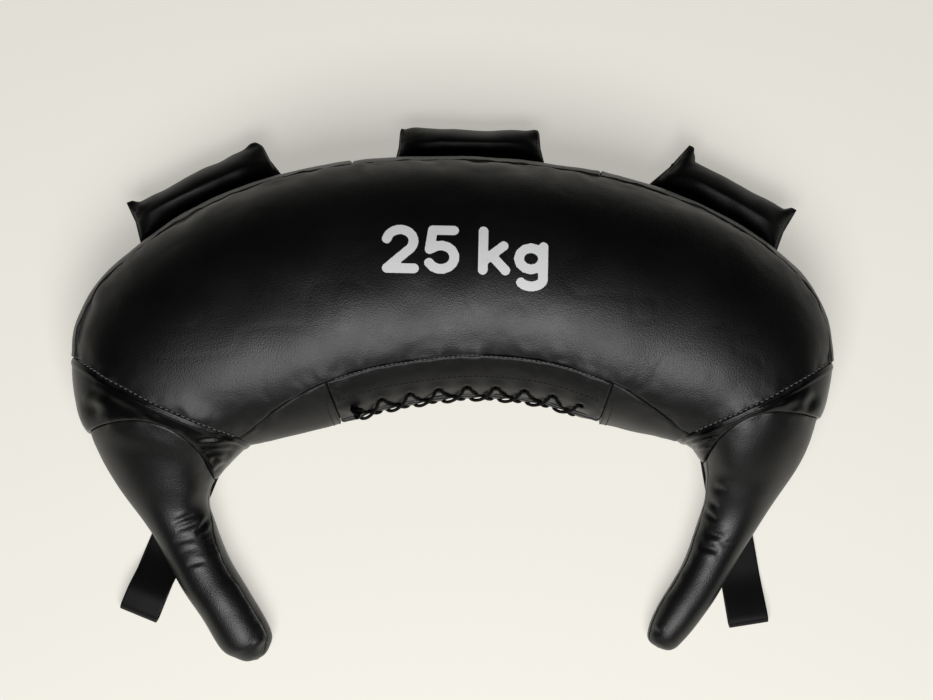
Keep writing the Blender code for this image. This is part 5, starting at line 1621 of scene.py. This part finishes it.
def sand_sacks():
    """Four canvas sacks end to end, each filled tight, with ends drawn in on a quarter circle."""
    end_shares = SACK_MARGIN_SHARE + np.linspace(0, SACK_END_SHARE, SACK_END_RINGS)
    middle_shares = np.linspace(end_shares[-1], 1 - end_shares[-1], SACK_MIDDLE_RINGS)
    share = np.concatenate((end_shares[:-1], middle_shares, 1 - end_shares[-2::-1]))
    from_end = np.minimum(share, 1 - share)[:, None] - SACK_MARGIN_SHARE
    drawn_in = SACK_END * rounding(from_end / SACK_ROUND_SHARE, 1.0)
    stops = np.linspace(*BODY_ROWS, SACK_COUNT + 1)
    for index, (start, stop) in enumerate(zip(stops[:-1], stops[1:])):
        rows, angles = ring_places(start + (stop - start) * share)
        grid = surface(rows, angles, wadding_depth(rows, angles) + WADDING + SACK_GAP + drawn_in)
        relief = lumps(grid, seed=151 + index, kind="sack") - SACK_SETTLE
        grid = grid + normals_of(grid, ring=True) * relief[..., None]
        uv = np.stack((travelled(grid, 1), travelled(grid, 0)), -1)
        piece = closed_rings(f"sand_canvas_{index + 1}", grid, CANVAS, uv=uv)
        fix(piece, "root", "sand_canvas", f"sand_sack_{index + 1}", fill=0.9)


def end_pad(side):
    """The wadding between the last sack and the horn."""
    grid = yoke_grid(side, PAD_SHARES, ring_lines(side, PAD_LINES), LEATHER_ROOM + PAD_GAP)
    piece = closed_rings("pad_felt_" + side, above_floor(grid, HIDDEN_FLOOR_GAP), FELT)
    fix(piece, "root", "wadding", "end_pad_" + side, fill=0.7)


def horn_core(side):
    """The wadding inside a horn: the horn's own rings, less some at both ends."""
    grid = horn_grid(side, horn_lines(CORE_LINES), LEATHER_ROOM + CORE_GAP)
    cuts = (CORE_TIP_RINGS, -CORE_NECK_RINGS) if side == "left" else (CORE_NECK_RINGS, -CORE_TIP_RINGS)
    piece = closed_rings("horn_felt_" + side, above_floor(grid[slice(*cuts)], HIDDEN_FLOOR_GAP), FELT)
    bend_with_horn(piece, side)
    stand_for(piece, "wadding", "horn_core_" + side, fill=0.8)


def bag():
    """All the pieces of the bag, from the front panel to the grips."""
    weight_mark(front_panel())
    back_panel()
    gussets()
    plackets()
    lace()
    tongue()
    wadding()
    sand_sacks()
    for side in INWARD:
        yoke(side)
        horn(side)
        end_pad(side)
        horn_core(side)
        webbing_loop(side)
        loop_anchor(side)
    for number, side in enumerate(GRIP_OUTLINES):
        grip(side, number)
        grip_core(side)
        grip_strap(side)


# Studio

def floor():
    """A pale floor that keeps the bag's shadow. It glows for the camera, in gloss and through
    glass, but gives the bag no light otherwise."""
    graph = Graph("floor")
    rays = graph.add("LightPath").outputs
    seen = graph.math("MAXIMUM", rays["Is Camera Ray"], rays["Is Glossy Ray"])
    seen = graph.math("MAXIMUM", seen, rays["Is Transmission Ray"])
    graph.give(graph.shader, {
        "Base Color": (*FLOOR_COLOUR, 1), "Roughness": 0.9, "Specular IOR Level": 0.1,
        "Emission Color": (*FLOOR_GLOW_COLOUR, 1),
        "Emission Strength": graph.math("MULTIPLY", seen, FLOOR_GLOW)})
    half = FLOOR_SIZE / 2
    mesh = bpy.data.meshes.new("floor")
    corners = [(-half, -half, 0), (half, -half, 0), (half, half, 0), (-half, half, 0)]
    mesh.from_pydata(corners, [], [(0, 1, 2, 3)])
    mesh.materials.append(graph.material)
    add_object("floor", mesh)


def light():
    """A weak bluish surround, and one large soft lamp from the horns' side."""
    world = bpy.data.worlds.new("studio")
    world.use_nodes = True
    world.node_tree.nodes["Background"].inputs["Color"].default_value = (*WORLD_COLOUR, 1)
    world.node_tree.nodes["Background"].inputs["Strength"].default_value = WORLD_LIGHT
    bpy.context.scene.world = world
    lamp = bpy.data.lights.new("main", "AREA")
    lamp.size = LAMP_SIZE
    lamp.energy = LAMP_POWER
    hung = add_object("main", lamp)
    hung.location = LAMP_PLACE
    hung.rotation_euler = (LAMP_TARGET - LAMP_PLACE).to_track_quat("-Z", "Y").to_euler()


def camera():
    """Looks down at the bag, leaning a little towards the horns."""
    lens = bpy.data.cameras.new("camera")
    lens.sensor_width = SENSOR_WIDTH_MM
    lens.lens = SENSOR_WIDTH_MM * CAMERA_DISTANCE / PICTURE_WIDTH_THERE
    eye = add_object("camera", lens)
    eye.location = TARGET + CAMERA_DISTANCE * Vector((0, -np.sin(CAMERA_TILT), np.cos(CAMERA_TILT)))
    eye.rotation_euler = (CAMERA_TILT, 0, 0)
    bpy.context.scene.camera = eye


camera()
floor()
light()
bag()

bpy.context.scene.view_settings.view_transform = "Standard"
bpy.context.view_layer.update()
